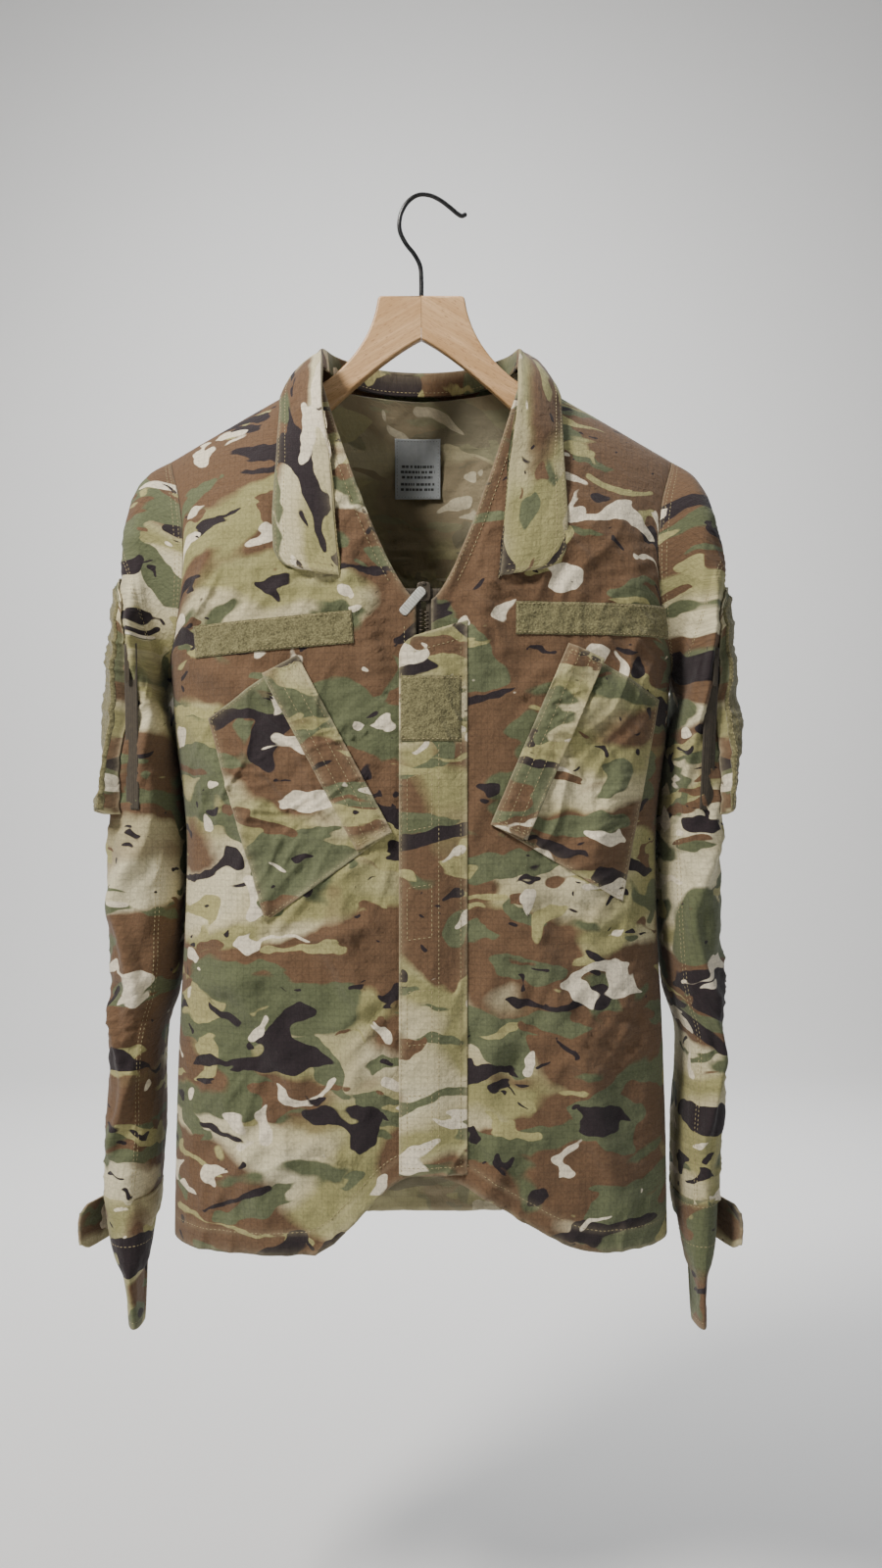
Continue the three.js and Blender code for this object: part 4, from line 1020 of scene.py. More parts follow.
def sleeve_patch(name, side, rings, angles, lift, thick, columns, rows, offset, sizes):
    """A patch on a sleeve between two rings and two angles."""
    u, v = np.meshgrid(np.linspace(0, 1, columns), np.linspace(0, 1, rows))
    ring, angle = mix(rings[0], rings[1], v), mix(angles[0], angles[1], u)
    rise = lift(u, v) if callable(lift) else lift
    outer = sleeve_at(side, ring, angle, rise + thick)
    inner = sleeve_at(side, ring, angle, rise)
    uv = np.stack([u * sizes[0] + offset[0], -v * sizes[1] + offset[1]], -1)
    return slab(name, outer, inner, uv, edge_wear(u, v, *sizes))


POCKET_RINGS, POCKET_ANGLES = (3.4, 6.0), (-0.96, 1.25)


def pocket_stand(side, ring, angle):
    """How far a sleeve pocket stands off the sleeve: bellows sides rise steeply, and it fills out
    downwards."""
    u, v = (angle - POCKET_ANGLES[0]) / 2.21, (ring - POCKET_RINGS[0]) / 2.6
    tall = 12.5 if side == "right" else 8.5
    sides = smooth(np.minimum(u, 1 - u) * 140, 0, 9)
    return 1.0 + tall * sides * smooth(v * 190, -8, 95) * smooth((1 - v) * 190, -1.5, 3)


def make_sleeve_pocket(side):
    """A bellows pocket on the upper sleeve with a field of loop pile, standing proud along its lower edge."""
    def lift(u, v):
        return pocket_stand(side, mix(*POCKET_RINGS, v), mix(*POCKET_ANGLES, u))

    mesh = sleeve_patch(f"sleeve_pocket_{side}", side, POCKET_RINGS, POCKET_ANGLES, lift, 1.2, 130, 150,
                        (3200, 300), (140, 190))
    pocket = place(f"sleeve_pocket_{side}", mesh, "ripstop", "coat", f"sleeve_pocket_{side}", slot="cloth")
    u, v = np.meshgrid(np.linspace(0, 1, 120), np.linspace(0, 1, 150))
    ring, angle = mix(3.5, 5.95, v), mix(-0.86, 1.15, u)
    thin = np.minimum(np.minimum(u, 1 - u) * 125, np.minimum(v, 1 - v) * 165)
    base = pocket_stand(side, ring, angle) + 1.2
    fray = 0.9 * noise(u * 60, v * 70, 29) * np.exp(-thin / 1.2)
    grain = pile_grain(u * 125, v * 160, 27) * smooth(thin, 0.5, 3)
    rise = base + 0.6 + 0.9 * smooth(thin, 0.3, 2.5) + grain + fray
    mesh = slab(f"sleeve_loop_{side}", sleeve_at(side, ring, angle, rise),
                sleeve_at(side, ring, angle, base + 0.1), np.stack([u * 125, v * 160], -1))
    field = place(f"sleeve_loop_{side}", mesh, "loop pile", "coat", f"sleeve_loop_field_{side}",
                  slot="loop_pile")
    return pocket, field


def make_elbow(side):
    """A second layer sewn over the elbow."""
    mesh = sleeve_patch(f"elbow_patch_{side}", side, (6.7, 9.2), (0.5, 1.9), 0.5, 0.9, 60, 110, (3500, 700),
                        (90, 165))
    piece = place(f"elbow_patch_{side}", mesh, "ripstop", "coat", f"elbow_patch_{side}", slot="cloth")
    return piece


TAB_LONG, TAB_TALL = 52, 36


def tab_at(side, u, v, lift=0.0):
    """A point on a cuff tab: sewn at its back end, curling clear at the front, with the free end's corners
    cut."""
    sign, seat = (-1, 1.8) if side == "right" else (1, 1.3)
    nip = 5 * smooth(u, 0.78, 1.0)
    curl = 1.1 + 14.5 * u**1.35 + 1.2 * np.sin(np.pi * v) * u + 0.3 * noise(u * 6, v * 5, 71)
    x = SLEEVES[side][-1][0] - seat + curl + lift
    return np.stack([sign * x, mix(14, 14 - TAB_LONG, u), mix(-837.6 - nip, -837.6 - TAB_TALL + nip, v)], -1)


def make_cuff_tab(side):
    """A cuff tab, its edges turned in a little thicker than its middle."""
    u, v = np.meshgrid(np.linspace(0, 1, 60), np.linspace(0, 1, 44))
    inset = np.minimum(np.minimum(u, 1 - u) * TAB_LONG, np.minimum(v, 1 - v) * TAB_TALL)
    turned = 0.3 * np.exp(-(((inset - 1) / 0.8) ** 2))
    uv = np.stack([u * TAB_LONG + 3600, -v * TAB_TALL + (60 if side == "right" else 160)], -1)
    mesh = slab(f"cuff_tab_{side}", tab_at(side, u, v, 1.9 + turned), tab_at(side, u, v), uv,
                edge_wear(u, v, TAB_LONG, TAB_TALL))
    piece = place(f"cuff_tab_{side}", mesh, "ripstop", f"cuff_tab_{side}", f"cuff_tab_{side}", slot="cloth")
    return piece


# ---- zips ----


def superquadric(centre, half, power=0.45, rows=10, columns=20):
    """A cushioned box: an ellipsoid whose latitude and longitude sines and cosines are raised to a small
    power."""
    lat = np.linspace(-np.pi / 2, np.pi / 2, rows)[1:-1, None]
    lon = np.linspace(0, 2 * np.pi, columns, endpoint=False)[None, :]

    def soft(value):
        return np.sign(value) * np.abs(value) ** power

    ring = np.stack([soft(np.cos(lat)) * soft(np.cos(lon)), soft(np.cos(lat)) * soft(np.sin(lon)),
                     soft(np.sin(lat)) + 0 * lon], -1)
    points = np.concatenate([[[0, 0, -1]], ring.reshape(-1, 3), [[0, 0, 1]]])
    points = points * half + np.asarray(centre, float)
    index = 1 + np.arange((rows - 2) * columns).reshape(rows - 2, columns)
    nxt = np.roll(index, -1, 1)
    faces = np.stack([index[:-1], nxt[:-1], nxt[1:], index[1:]], -1).reshape(-1, 4).tolist()
    faces += [[0, b, a] for a, b in zip(index[0], nxt[0])]
    faces += [[len(points) - 1, a, b] for a, b in zip(index[-1], nxt[-1])]
    return points, faces


def join_solids(parts):
    """Several closed solids as one list of vertices and faces."""
    points, faces, base = [], [], 0
    for vertices, own in parts:
        points.append(vertices)
        faces += [[i + base for i in face] for face in own]
        base += len(vertices)
    return np.concatenate(points), faces


def teeth(x0, y, z_top, z_bottom, pitch, side):
    """Moulded teeth gripping a tape's edge: small blocks with a rounded head, one each pitch."""
    count = int((z_top - z_bottom) / pitch)
    z = z_top - (np.arange(count) + (0.25 if side < 0 else 0.75)) * pitch
    shape, faces = superquadric((0, 0, 0), (1.75, 1.05, 0.62), 0.35, 5, 8)
    centres = np.stack([np.full(count, x0), np.full(count, y), z], -1)
    points = (centres[:, None, :] + shape[None]).reshape(-1, 3)
    own = [[i + k * len(shape) for i in face] for k in range(count) for face in faces]
    return points, own


TAPE_Y = -92.3 + 2 + 0.4 + 0.4
CHAIN_TOP = V_POINT_Z + 9


def make_zip_tapes():
    """The main zip: two woven tapes whose moulded teeth meet in the middle, and the placket behind them."""
    made = []
    for side, sign in (("right", -1), ("left", 1)):
        u, v = np.meshgrid(np.linspace(0, 1, 8), np.linspace(0, 1, 160))
        x = ZIP_X + sign * (1.9 + 14.6 * u)
        z = mix(CHAIN_TOP, -780, v)
        wave = 0.35 * noise(z / 12, u * 2, 41) * u
        out = np.stack([x, TAPE_Y - 0.4 + wave, z], -1)
        inner = np.stack([x, TAPE_Y + 0.4 + wave, z], -1)
        mesh = slab(f"zip_tape_{side}", out, inner, np.stack([x, z], -1))
        made.append(place(f"zip_tape_{side}", mesh, "zip tape", "coat", f"zip_tape_{side}", slot="zip_tape"))
        points, faces = teeth(ZIP_X + sign * 2.0, TAPE_Y, CHAIN_TOP - 16, -779, 3.1, sign)
        mesh = solid_mesh(f"zip_teeth_{side}", points, faces)
        made.append(place(f"zip_teeth_{side}", mesh, "acetal", "coat", slot="zip_tape"))
    u, v = np.meshgrid(np.linspace(0, 1, 30), np.linspace(0, 1, 200))
    x, z = mix(-17.5, 25.5, u), mix(CHAIN_TOP, -779, v)
    wave = 0.3 * noise(x / 9, z / 14, 43)
    mesh = slab("inner_placket", np.stack([x, -86.6 + wave, z], -1), np.stack([x, -85.4 + wave, z], -1),
                np.stack([x + 4000, z], -1))
    piece = place("inner_placket", mesh, "ripstop inside", "coat", "inner_placket", slot="cloth")
    return made


def strip(name, start, way, face, length, width, thick, material, body, node, slot):
    """A flat pull with a rounded end, hanging from a point along a direction."""
    way, face = np.array(way, float), np.array(face, float)
    way = way / np.linalg.norm(way)
    face = face - way * (face @ way)
    face = face / np.linalg.norm(face)
    across = np.cross(face, way)
    u, v = np.meshgrid(np.linspace(0, 1, 26), np.linspace(-1, 1, 13))
    tip = 0.5 * width
    left = np.minimum(u, 1 - u) * length
    half = np.where(left < tip * 0.6, np.sqrt(np.maximum(1 - (1 - left / (tip * 0.6)) ** 2, 0.12)),
                    1) * width / 2
    middle = np.asarray(start, float) + way * (u[..., None] * length)
    flat = middle + across * (v * half)[..., None]
    crown = thick / 2 * (1 - 0.25 * v**2)
    mesh = slab(name, flat + face * crown[..., None], flat - face * crown[..., None],
                np.stack([u * length, v * half], -1))
    return place(name, mesh, material, body, node, slot=slot)


def make_zip_slider():
    """The slider: two cushioned plates joined by a bridge, a lug on the front, and a webbing pull that
    hangs askew."""
    top = V_POINT_Z + 14
    z, gap = top - 7.5, 1.1 + 0.4 + 0.6
    parts = [superquadric((ZIP_X, TAPE_Y - gap, z), (5.4, 0.6, 7.4)),
             superquadric((ZIP_X, TAPE_Y + gap, z), (5.4, 0.6, 7.4)),
             superquadric((ZIP_X, TAPE_Y, z + 2.6), (0.2, 2.1, 4.2)),
             superquadric((ZIP_X, TAPE_Y - gap - 0.9, top - 1.3), (1.5, 0.8, 1.2))]
    mesh = solid_mesh("zip_slider", *join_solids(parts))
    slider = place("zip_slider", mesh, "zinc", "slider", "zip_slider", slot="zip_metal")
    start = (ZIP_X, TAPE_Y - 1.1 - 0.4 - 1.2 - 1.4, top - 5.4)
    way = (-math.sin(math.radians(41)), 0, -math.cos(math.radians(41)))
    strip("zip_pull", start, way, (0, -1, 0), 26, 7.6, 1.1, "pull webbing", "pull", "zip_pull", "pull_tab")
    return slider


def make_sleeve_zip(side):
    """The sleeve pocket's zip ahead of its front edge, with its slider and a flat metal pull."""
    sign = -1 if side == "right" else 1
    head = np.array({"right": (-229.68, -64.54, -383.38), "left": (232.17, -64.54, -386.48)}[side])
    foot = np.array({"right": (-228.54, -60.75, -515.21), "left": (227.24, -60.75, -515.21)}[side])
    way = (foot - head) / np.linalg.norm(foot - head)
    face = np.array((sign * 0.5, -0.87, 0))
    across = np.cross(face, way)
    u, v = np.meshgrid(np.linspace(-1, 1, 9), np.linspace(0, 1, 60))
    length = np.linalg.norm(foot - head)
    flat = head + way * (v * length)[..., None] + across * (u * 6.3)[..., None]
    bead = 0.4 + 0.65 * (np.abs(u) < 0.3) * (0.75 + 0.25 * np.sign(np.sin(v * length * 2)))
    mesh = slab(f"sleeve_zip_{side}", flat + face * bead[..., None], flat - face * 0.4,
                np.stack([u * 6.3, v * length], -1))
    place(f"sleeve_zip_{side}", mesh, "zip tape", "coat", f"sleeve_zip_{side}", slot="zip_tape")
    upon = head + way * 12 + face * 2.1
    body = f"sleeve_slider_{side}"
    points, faces = superquadric((0, 0, 0), (5.4, 3.9, 0.6), 0.5)
    turned = upon + points[:, :1] * way + points[:, 1:2] * across + points[:, 2:] * face
    mesh = solid_mesh(f"sleeve_zip_slider_{side}", turned, faces)
    mesh_out(mesh)
    place(f"sleeve_zip_slider_{side}", mesh, "zinc", body, f"sleeve_zip_slider_{side}", slot="zip_metal")
    hung = upon - way * 3 + face * 2.0
    strip(f"sleeve_zip_pull_{side}", hung, way, face, 22, 4, 0.9, "zinc", f"sleeve_pull_{side}",
          f"sleeve_zip_pull_{side}", "zip_metal")


# ---- collar and label ----

COLLAR = (
    # fold x, y, z; free edge x, y, z; stand height. A None y lies just clear of the front.
    ((62, None, -334), (113, None, -326), 2.5), ((66, None, -292), (115, None, -285), 2.5),
    ((70, None, -246), (113, None, -240), 2.5), ((73, -90, -224), (113, None, -220), 3),
    ((77, -82, -194), (113, None, -198), 4), ((79, -52, -155), (113, -44, -181), 8),
    ((80, -18, -138), (108, -12, -163), 14), ((71, 20, -134), (99, 24, -170), 18),
    ((42, 48, -136), (62, 66, -184), 20), ((0, 56, -137), (0, 68, -188), 20),
)


def collar_rings():
    """Foot, fold and free edge of each station from the right front end round the back to the left."""
    half = []
    for (fx, fy, fz), (ex, ey, ez), stand in COLLAR:
        fold_y = float(-body_depth(fx, fz, -1) - 7) if fy is None else fy
        edge_y = float(-body_depth(ex, ez, -1) - (8 if ez > -250 else 5)) if ey is None else ey
        half.append(((fx, fold_y, fz), (ex, edge_y, ez), stand))
    rings = [((-f[0], f[1], f[2]), (-e[0], e[1], e[2]), s) for f, e, s in half] + half[:-1][::-1]
    fold_line = np.array([r[0] for r in rings], float)
    edge_line = np.array([r[1] for r in rings], float)
    stand = np.array([r[2] for r in rings], float)
    return fold_line, edge_line, stand


def along_stations(values, count):
    """A smooth curve through evenly numbered stations, sampled count times."""
    values = np.asarray(values, float).reshape(len(values), -1)
    at = np.arange(len(values))
    where = np.linspace(0, len(values) - 1, count)
    return np.stack([track(list(zip(at, column)))(where) for column in values.T], -1)


def collar_surface(v_values, count):
    """The collar: across it v runs from the stand's foot (0) over the fold (0.3) to the free edge (1); the
    leaf bows outwards between the fold and its edge, and its two front corners are cut round."""
    fold_line, edge_line, stand = collar_rings()
    folds, edges, stands = (along_stations(a, count) for a in (fold_line, edge_line, stand))
    fall = edges - folds
    width = np.linalg.norm(fall, axis=1, keepdims=True)
    fall = fall / width
    along = np.gradient(folds, axis=0)
    along = along / np.linalg.norm(along, axis=1, keepdims=True)
    out = np.cross(along, fall)
    away = out[:, 1:2] * (folds[:, 1:2] + 10) + 30 * out[:, 2:]
    out = np.where(away < 0, -out, out)
    out = out / np.linalg.norm(out, axis=1, keepdims=True)
    inward = -np.stack([fall[:, 0], fall[:, 1], 0 * fall[:, 0]], -1)
    inward = inward / np.linalg.norm(inward, axis=1, keepdims=True)
    foot = folds - np.array([0, 0, 1.0]) * stands + inward * 1.2
    run = np.concatenate([[0], np.cumsum(np.linalg.norm(np.diff(edges, axis=0), axis=1))])
    left = np.minimum(run, run[-1] - run)[:, None]
    corner = 17.0
    cut = corner - np.sqrt(np.maximum(corner**2 - np.maximum(corner - left, 0) ** 2, 0))
    reach = np.clip((width - cut) / width, 0.2, 1)
    v = np.asarray(v_values, float)[None, :, None]
    leaf = np.clip((v - 0.3) / 0.7, 0, 1)
    up = np.clip(v / 0.3, 0, 1)
    ripple = 1.5 * noise(run / 34, 0.4, 51)
    bow = (4.2 + ripple)[:, None, None] * np.sin(np.pi * leaf) ** 0.8
    curve = foot[:, None] * (1 - up) + folds[:, None] * up
    curve = curve + fall[:, None] * (width * reach)[:, None] * leaf + out[:, None] * bow
    crown = np.exp(-(((v - 0.3) / 0.05) ** 2)) * 1.3
    curve = curve + np.array([0, 0, 1.0]) * crown * (stands[:, None] > 6) + out[:, None] * crown * 0.5
    along_run, over = run[:, None], v[0, :, 0][None]
    crumple = 0.5 * noise(along_run / 8, over * 7, 53) + 0.9 * noise(along_run / 21, over * 2.3, 54)
    return curve + out[:, None] * crumple[..., None] * np.sin(np.pi * np.clip(v, 0.02, 0.98)), run, out


def make_collar():
    """The collar in one band with two layers: a stand inside the neck and a leaf folded down over it."""
    v = np.linspace(0, 1, 74)
    points, run, _ = collar_surface(v, 300)
    spans = np.linalg.norm(np.diff(points, axis=1), axis=2).mean(0)
    down = np.concatenate([[0], np.cumsum(spans)])
    uv = np.stack(np.broadcast_arrays(run[:, None] + 300, -down[None, :] - 1700), -1)
    edge = np.exp(-(down[-1] - down)[None, :] / 2.4) + 0.8 * np.exp(-np.abs(down - down[22])[None, :] / 3)
    wear = np.maximum(edge, np.exp(-np.minimum(run, run[-1] - run)[:, None] / 2.4))
    mesh = sheet_mesh("collar", points, uv, wear=wear)
    leaf_out(mesh)
    piece = place("collar", mesh, ("ripstop", "ripstop"), "coat", "collar", slot="cloth")
    thicken(piece, 1.6)
    return piece


def leaf_out(mesh):
    """Turns a collar's faces so that the back of its leaf looks backwards."""
    normals, centres = np.empty(len(mesh.polygons) * 3), np.empty(len(mesh.polygons) * 3)
    mesh.polygons.foreach_get("normal", normals)
    mesh.polygons.foreach_get("center", centres)
    normals, centres = normals.reshape(-1, 3), centres.reshape(-1, 3)
    leaf = (centres[:, 1] > 0.055) & (np.abs(centres[:, 0]) < 0.05)
    if normals[leaf, 1].sum() < 0:
        mesh.flip_normals()


def make_label():
    """A grey neck label with a stitched border and rows of small unreadable marks."""
    u, v = np.meshgrid(np.linspace(0, 1, 40), np.linspace(0, 1, 50))
    x, z = mix(-24, 16, u), mix(-193, -244, v)
    wave = 0.5 * noise(u * 2.2, v * 2.4, 61)
    y = body_depth(x, z, 1) - 2.6
    base = np.stack([x, y + wave, z], -1)
    mesh = slab("neck_label", base - (0, 0.45, 0), base, np.stack([x, z], -1))
    label = place("neck_label", mesh, "label cloth", "coat", "neck_label", slot="label")
    marks = np.random.default_rng(5)
    cells = []
    for row, start, end in ((22, 6, 34), (26.5, 5, 35), (31, 6, 33), (37, 5, 35), (41.5, 5, 34)):
        at = start
        while at < end:
            wide = float(marks.uniform(1.2, 3.4))
            cells.append((at, row, min(wide, end - at)))
            at += wide + float(marks.choice([0.6, 0.6, 1.6]))
    ends = np.array(cells)
    left, right = -24 + ends[:, 0], -24 + ends[:, 0] + ends[:, 2]
    upper, lower = -193 - ends[:, 1], -195.2 - ends[:, 1]
    square = np.stack([np.stack([left, upper], -1), np.stack([right, upper], -1),
                       np.stack([right, lower], -1), np.stack([left, lower], -1)], 1)
    ux, vz = (square[..., 0] + 24) / 40, (-193 - square[..., 1]) / 51
    y = body_depth(square[..., 0], square[..., 1], 1) - 3.05 + 0.5 * noise(ux * 2.2, vz * 2.4, 61)
    near = np.stack([square[..., 0], y - 0.12, square[..., 1]], -1)
    points = np.concatenate([near, near + (0, 0.25, 0)], 1).reshape(-1, 3)
    block = [(0, 3, 2, 1), (4, 5, 6, 7), (0, 1, 5, 4), (1, 2, 6, 5), (2, 3, 7, 6), (3, 0, 4, 7)]
    faces = [[k * 8 + i for i in face] for k in range(len(cells)) for face in block]
    mesh = solid_mesh("label_marks", points, faces, smooth_shading=False)
    mesh_out(mesh)
    place("label_marks", mesh, "dark thread", "coat", slot="label")
    return label


# ---- hanger ----


def bezier(a, b, c, count):
    t = np.linspace(0, 1, count)[1:, None]
    return (1 - t) ** 2 * np.array(a) + 2 * t * (1 - t) * np.array(b) + t * t * np.array(c)


def hanger_outline():
    """The right-hand outline of one arm in x and z: flat top, a sweep down to the shoulder line, a rounded
    tip, and an arch under the middle."""
    def seat(x):
        return float(shoulder_line(x)) - 5.4

    tip = seat(186) - 24
    return np.concatenate([
        [(0.15, -88), (33, -88)], bezier((33, -88), (36, -88), (36.6, -92), 5),
        bezier((36.6, -92), (42, -130), (78, seat(78)), 22),
        np.linspace((78, seat(78)), (186, seat(186)), 22)[1:],
        bezier((186, seat(186)), (189.5, tip + 14), (180, tip + 3), 9),
        np.linspace((180, tip + 3), (78, seat(78) - 27), 20)[1:],
        bezier((78, seat(78) - 27), (30, -139), (0.15, -124), 20),
    ])


def unit_rows(vectors):
    return vectors / np.maximum(np.linalg.norm(vectors, axis=1, keepdims=True), 1e-9)


def make_hanger_half(side):
    """One board of the hanger, its long edges rounded over by a quarter circle."""
    sign = -1 if side == "right" else 1
    line = hanger_outline()
    ahead, behind = np.roll(line, -1, 0) - line, line - np.roll(line, 1, 0)
    tangent = unit_rows(unit_rows(ahead) + unit_rows(behind))
    inward = np.stack([tangent[:, 1], -tangent[:, 0]], -1)
    if (inward * (line.mean(0) - line)).sum() < 0:
        inward = -inward
    inward[np.abs(line[:, 0]) < 0.2] *= (0, 1)
    turn = np.linspace(0, np.pi / 2, 6)
    radius, half = 2.0, 5.4
    insets = np.concatenate([radius * (1 - np.sin(turn)), (radius * (1 - np.sin(turn)))[::-1]])
    levels = np.concatenate([-half + radius * (1 - np.cos(turn)), (half - radius * (1 - np.cos(turn)))[::-1]])
    rings = [np.stack([sign * (line + inward * i)[:, 0], np.full(len(line), y), (line + inward * i)[:, 1]],
                      -1) for i, y in zip(insets, levels)]
    count = len(line)
    index = np.arange(count * len(rings)).reshape(len(rings), count)
    nxt = np.roll(index, -1, 1)
    faces = np.stack([index[:-1], nxt[:-1], nxt[1:], index[1:]], -1).reshape(-1, 4).tolist()
    faces += [index[0][::-1].tolist(), index[-1].tolist()]
    mesh = solid_mesh(f"hanger_half_{side}", np.concatenate(rings), faces)
    mesh_out(mesh)
    mesh.polygons.foreach_set("use_smooth", [len(p.vertices) == 4 for p in mesh.polygons])
    return place(f"hanger_half_{side}", mesh, f"beech {side}", "coat", f"hanger_half_{side}", slot="wood")


def make_hook():
    """The hook: wire bent on one smooth curve down to a straight shank, its free tip rounded off."""
    route = np.array([(0, -113), (0, -100), (0, -88), (0, -74), (-1, -62), (-6, -52), (-13, -43), (-18, -32),
                      (-17.5, -20), (-12, -9), (-3, -2.6), (7, -2.8), (16, -7), (24, -13), (30, -18),
                      (34, -20), (38, -18)], float)
    line = along_stations(route, 260)
    line = np.stack([line[:, 0], 0 * line[:, 0], line[:, 1]], -1)
    tangent = np.gradient(line, axis=0)
    tangent /= np.linalg.norm(tangent, axis=1, keepdims=True)
    side = np.stack([-tangent[:, 2], 0 * tangent[:, 0], tangent[:, 0]], -1)
    angle = np.linspace(0, 2 * np.pi, 20, endpoint=False)
    run = np.concatenate([[0], np.cumsum(np.linalg.norm(np.diff(line, axis=0), axis=1))])
    left = run[-1] - run
    radius = np.where(left < 1.9, np.sqrt(np.maximum(1.9**2 - (1.9 - left) ** 2, 0.04)), 1.9)
    rings = line[:, None] + radius[:, None, None] * (np.cos(angle)[None, :, None] * side[:, None]
                                                     + np.sin(angle)[None, :, None] * np.array([0, 1.0, 0]))
    index = np.arange(rings.shape[0] * 20).reshape(-1, 20)
    nxt = np.roll(index, -1, 1)
    faces = np.stack([index[:-1], nxt[:-1], nxt[1:], index[1:]], -1).reshape(-1, 4).tolist()
    faces += [index[0][::-1].tolist(), index[-1].tolist()]
    mesh = solid_mesh("hanger_hook", rings.reshape(-1, 3), faces)
    mesh_out(mesh)
    return place("hanger_hook", mesh, "wire", "hook", "hanger_hook", slot="hook_wire")


# ---- stitching ----


def stitched(name, runs, body, slot, share=1.0, gap=0.85, wide=0.75, tall=0.38, thread="thread"):
    """Rows of separate stitches. Each run is a line of points with the direction out of the cloth. A stitch
    is a low pyramid drawn out along its thread: two ends in the cloth, two sides, and a crown."""
    length = bpy.context.scene.coat_sizes.stitch * 1000 * share
    shapes, faces, base = [], [], 0
    block = np.array([(0, 3, 4), (3, 1, 4), (1, 2, 4), (2, 0, 4), (0, 2, 1), (0, 1, 3)])
    for points, up in runs:
        points = np.asarray(points, float).reshape(-1, 3)
        up = np.broadcast_to(np.asarray(up, float), points.shape)
        run = np.concatenate([[0], np.cumsum(np.linalg.norm(np.diff(points, axis=0), axis=1))])
        count = int(run[-1] / (length + gap))
        if count < 1:
            continue
        start = (np.arange(count) + 0.5) * run[-1] / count - length / 2

        def at(where, values):
            return np.stack([np.interp(where, run, column) for column in values.T], -1)

        a, b = at(start, points), at(start + length, points)
        out = at(start + length / 2, up)
        out = out / np.linalg.norm(out, axis=1, keepdims=True)
        way = b - a
        way = way / np.linalg.norm(way, axis=1, keepdims=True)
        across = np.cross(way, out) * wide / 2
        middle = at(start + length / 2, points)
        a, b = a - out * 0.12, b - out * 0.12
        shapes.append(np.stack([a, b, middle - across - out * 0.02, middle + across - out * 0.02,
                                middle + out * tall], 1))
        faces.append((block[None] + (base + 5 * np.arange(count))[:, None, None]).reshape(-1, 3))
        base += 5 * count
    mesh = bpy.data.meshes.new(name)
    mesh.from_pydata((np.concatenate(shapes).reshape(-1, 3) / 1000).tolist(), [],
                     np.concatenate(faces).tolist())
    mesh.update()
    mesh_out(mesh)
    return place(name, mesh, thread, body, slot=slot)


def line_xz(*corners, step=1.5):
    """Points along straight pieces between corners."""
    parts = []
    for a, b in zip(corners[:-1], corners[1:]):
        a, b = np.array(a, float), np.array(b, float)
        count = max(2, int(np.linalg.norm(b - a) / step))
        parts.append(a + (b - a) * np.linspace(0, 1, count)[:, None])
    return np.concatenate(parts)


FRONT_UP = (0, -1, 0)


def on_front(path, lift):
    return front_at(path[:, 0], path[:, 1], lift), FRONT_UP


def inset_loop(corners, by, sides=(0, 1, 2, 3)):
    """Lines just inside a four-cornered patch: sides 0 to 3 are the first edge, the bottom, the second and
    the top."""
    a, b, c, d = (np.array(p, float) for p in corners)
    ring = [a, b, d, c]
    inner = []
    for k in range(4):
        here, before, after = ring[k], ring[k - 1], ring[(k + 1) % 4]
        one, two = unit_rows(np.stack([before - here, after - here]))
        sine = abs(one[0] * two[1] - one[1] * two[0])
        inner.append(here + (one + two) * by / max(sine, 0.3))
    return [line_xz(inner[k], inner[(k + 1) % 4]) for k in sides]


def patch_rows(corners, rows, rise):
    """Rows on a patch from (u, v) to (u, v), at a rise worked out from u and v."""
    made = []
    for (u0, v0), (u1, v1) in rows:
        u, v = np.linspace(u0, u1, 90), np.linspace(v0, v1, 90)
        x, z = quad_xz(corners, u, v)
        made.append((front_at(x, z, rise(u, v)), FRONT_UP))
    return made


def stitch_fronts():
    """Rows on the fronts: the hems, the neck edges, the pocket bags, the name tapes, and the zip's own
    rows."""
    for side, sign in (("right", -1), ("left", 1)):
        runs = []
        x = np.linspace(14, 196, 160)
        hem = front_hem(x, sign)
        runs.append(on_front(np.stack([sign * x, hem + 17.5], -1), 0.6))
        for inset in (2.2, 8.6):
            z = np.linspace(V_POINT_Z + 14, -190, 90)
            runs.append(on_front(np.stack([sign * (front_edge(z, sign) + inset), z], -1), 0.62))
        z = np.linspace(-372, -780, 160)
        runs.append(on_front(np.stack([sign * (front_edge(z, sign) + 9) , z], -1), 0.15))
        bag, _ = pocket_lines(side)
        for path in inset_loop(bag, 2.4, (1, 2, 3)):
            runs.append(on_front(path, 1.45))
        x0, z0, turn = NAME_TAPES[side]
        for path in inset_loop(turned_rectangle(x0, z0, TAPE_LONG, TAPE_TALL, turn), 1.6):
            runs.append(on_front(path, 2.0))
        stitched(f"stitching_front_{side}", runs, "coat", "cloth")
        _, flap = pocket_lines(side)

        def rise(u, v):
            return flap_lift(u, v) + 1.6

        rows = [((u, 0.03), (u, 0.97)) for u in (0.12, 0.36, 0.66, 0.93)]
        rows += [((0.1, v), (0.93, v)) for v in (0.025, 0.975)]
        tacks = []
        for v in (0.03, 0.045, 0.96, 0.972):
            tacks += [((0.1, v), (0.42, v)), ((0.6, v), (0.93, v))]
        stitched(f"stitching_flap_{side}", patch_rows(flap, rows + tacks, rise), flap_bend(side), "cloth")


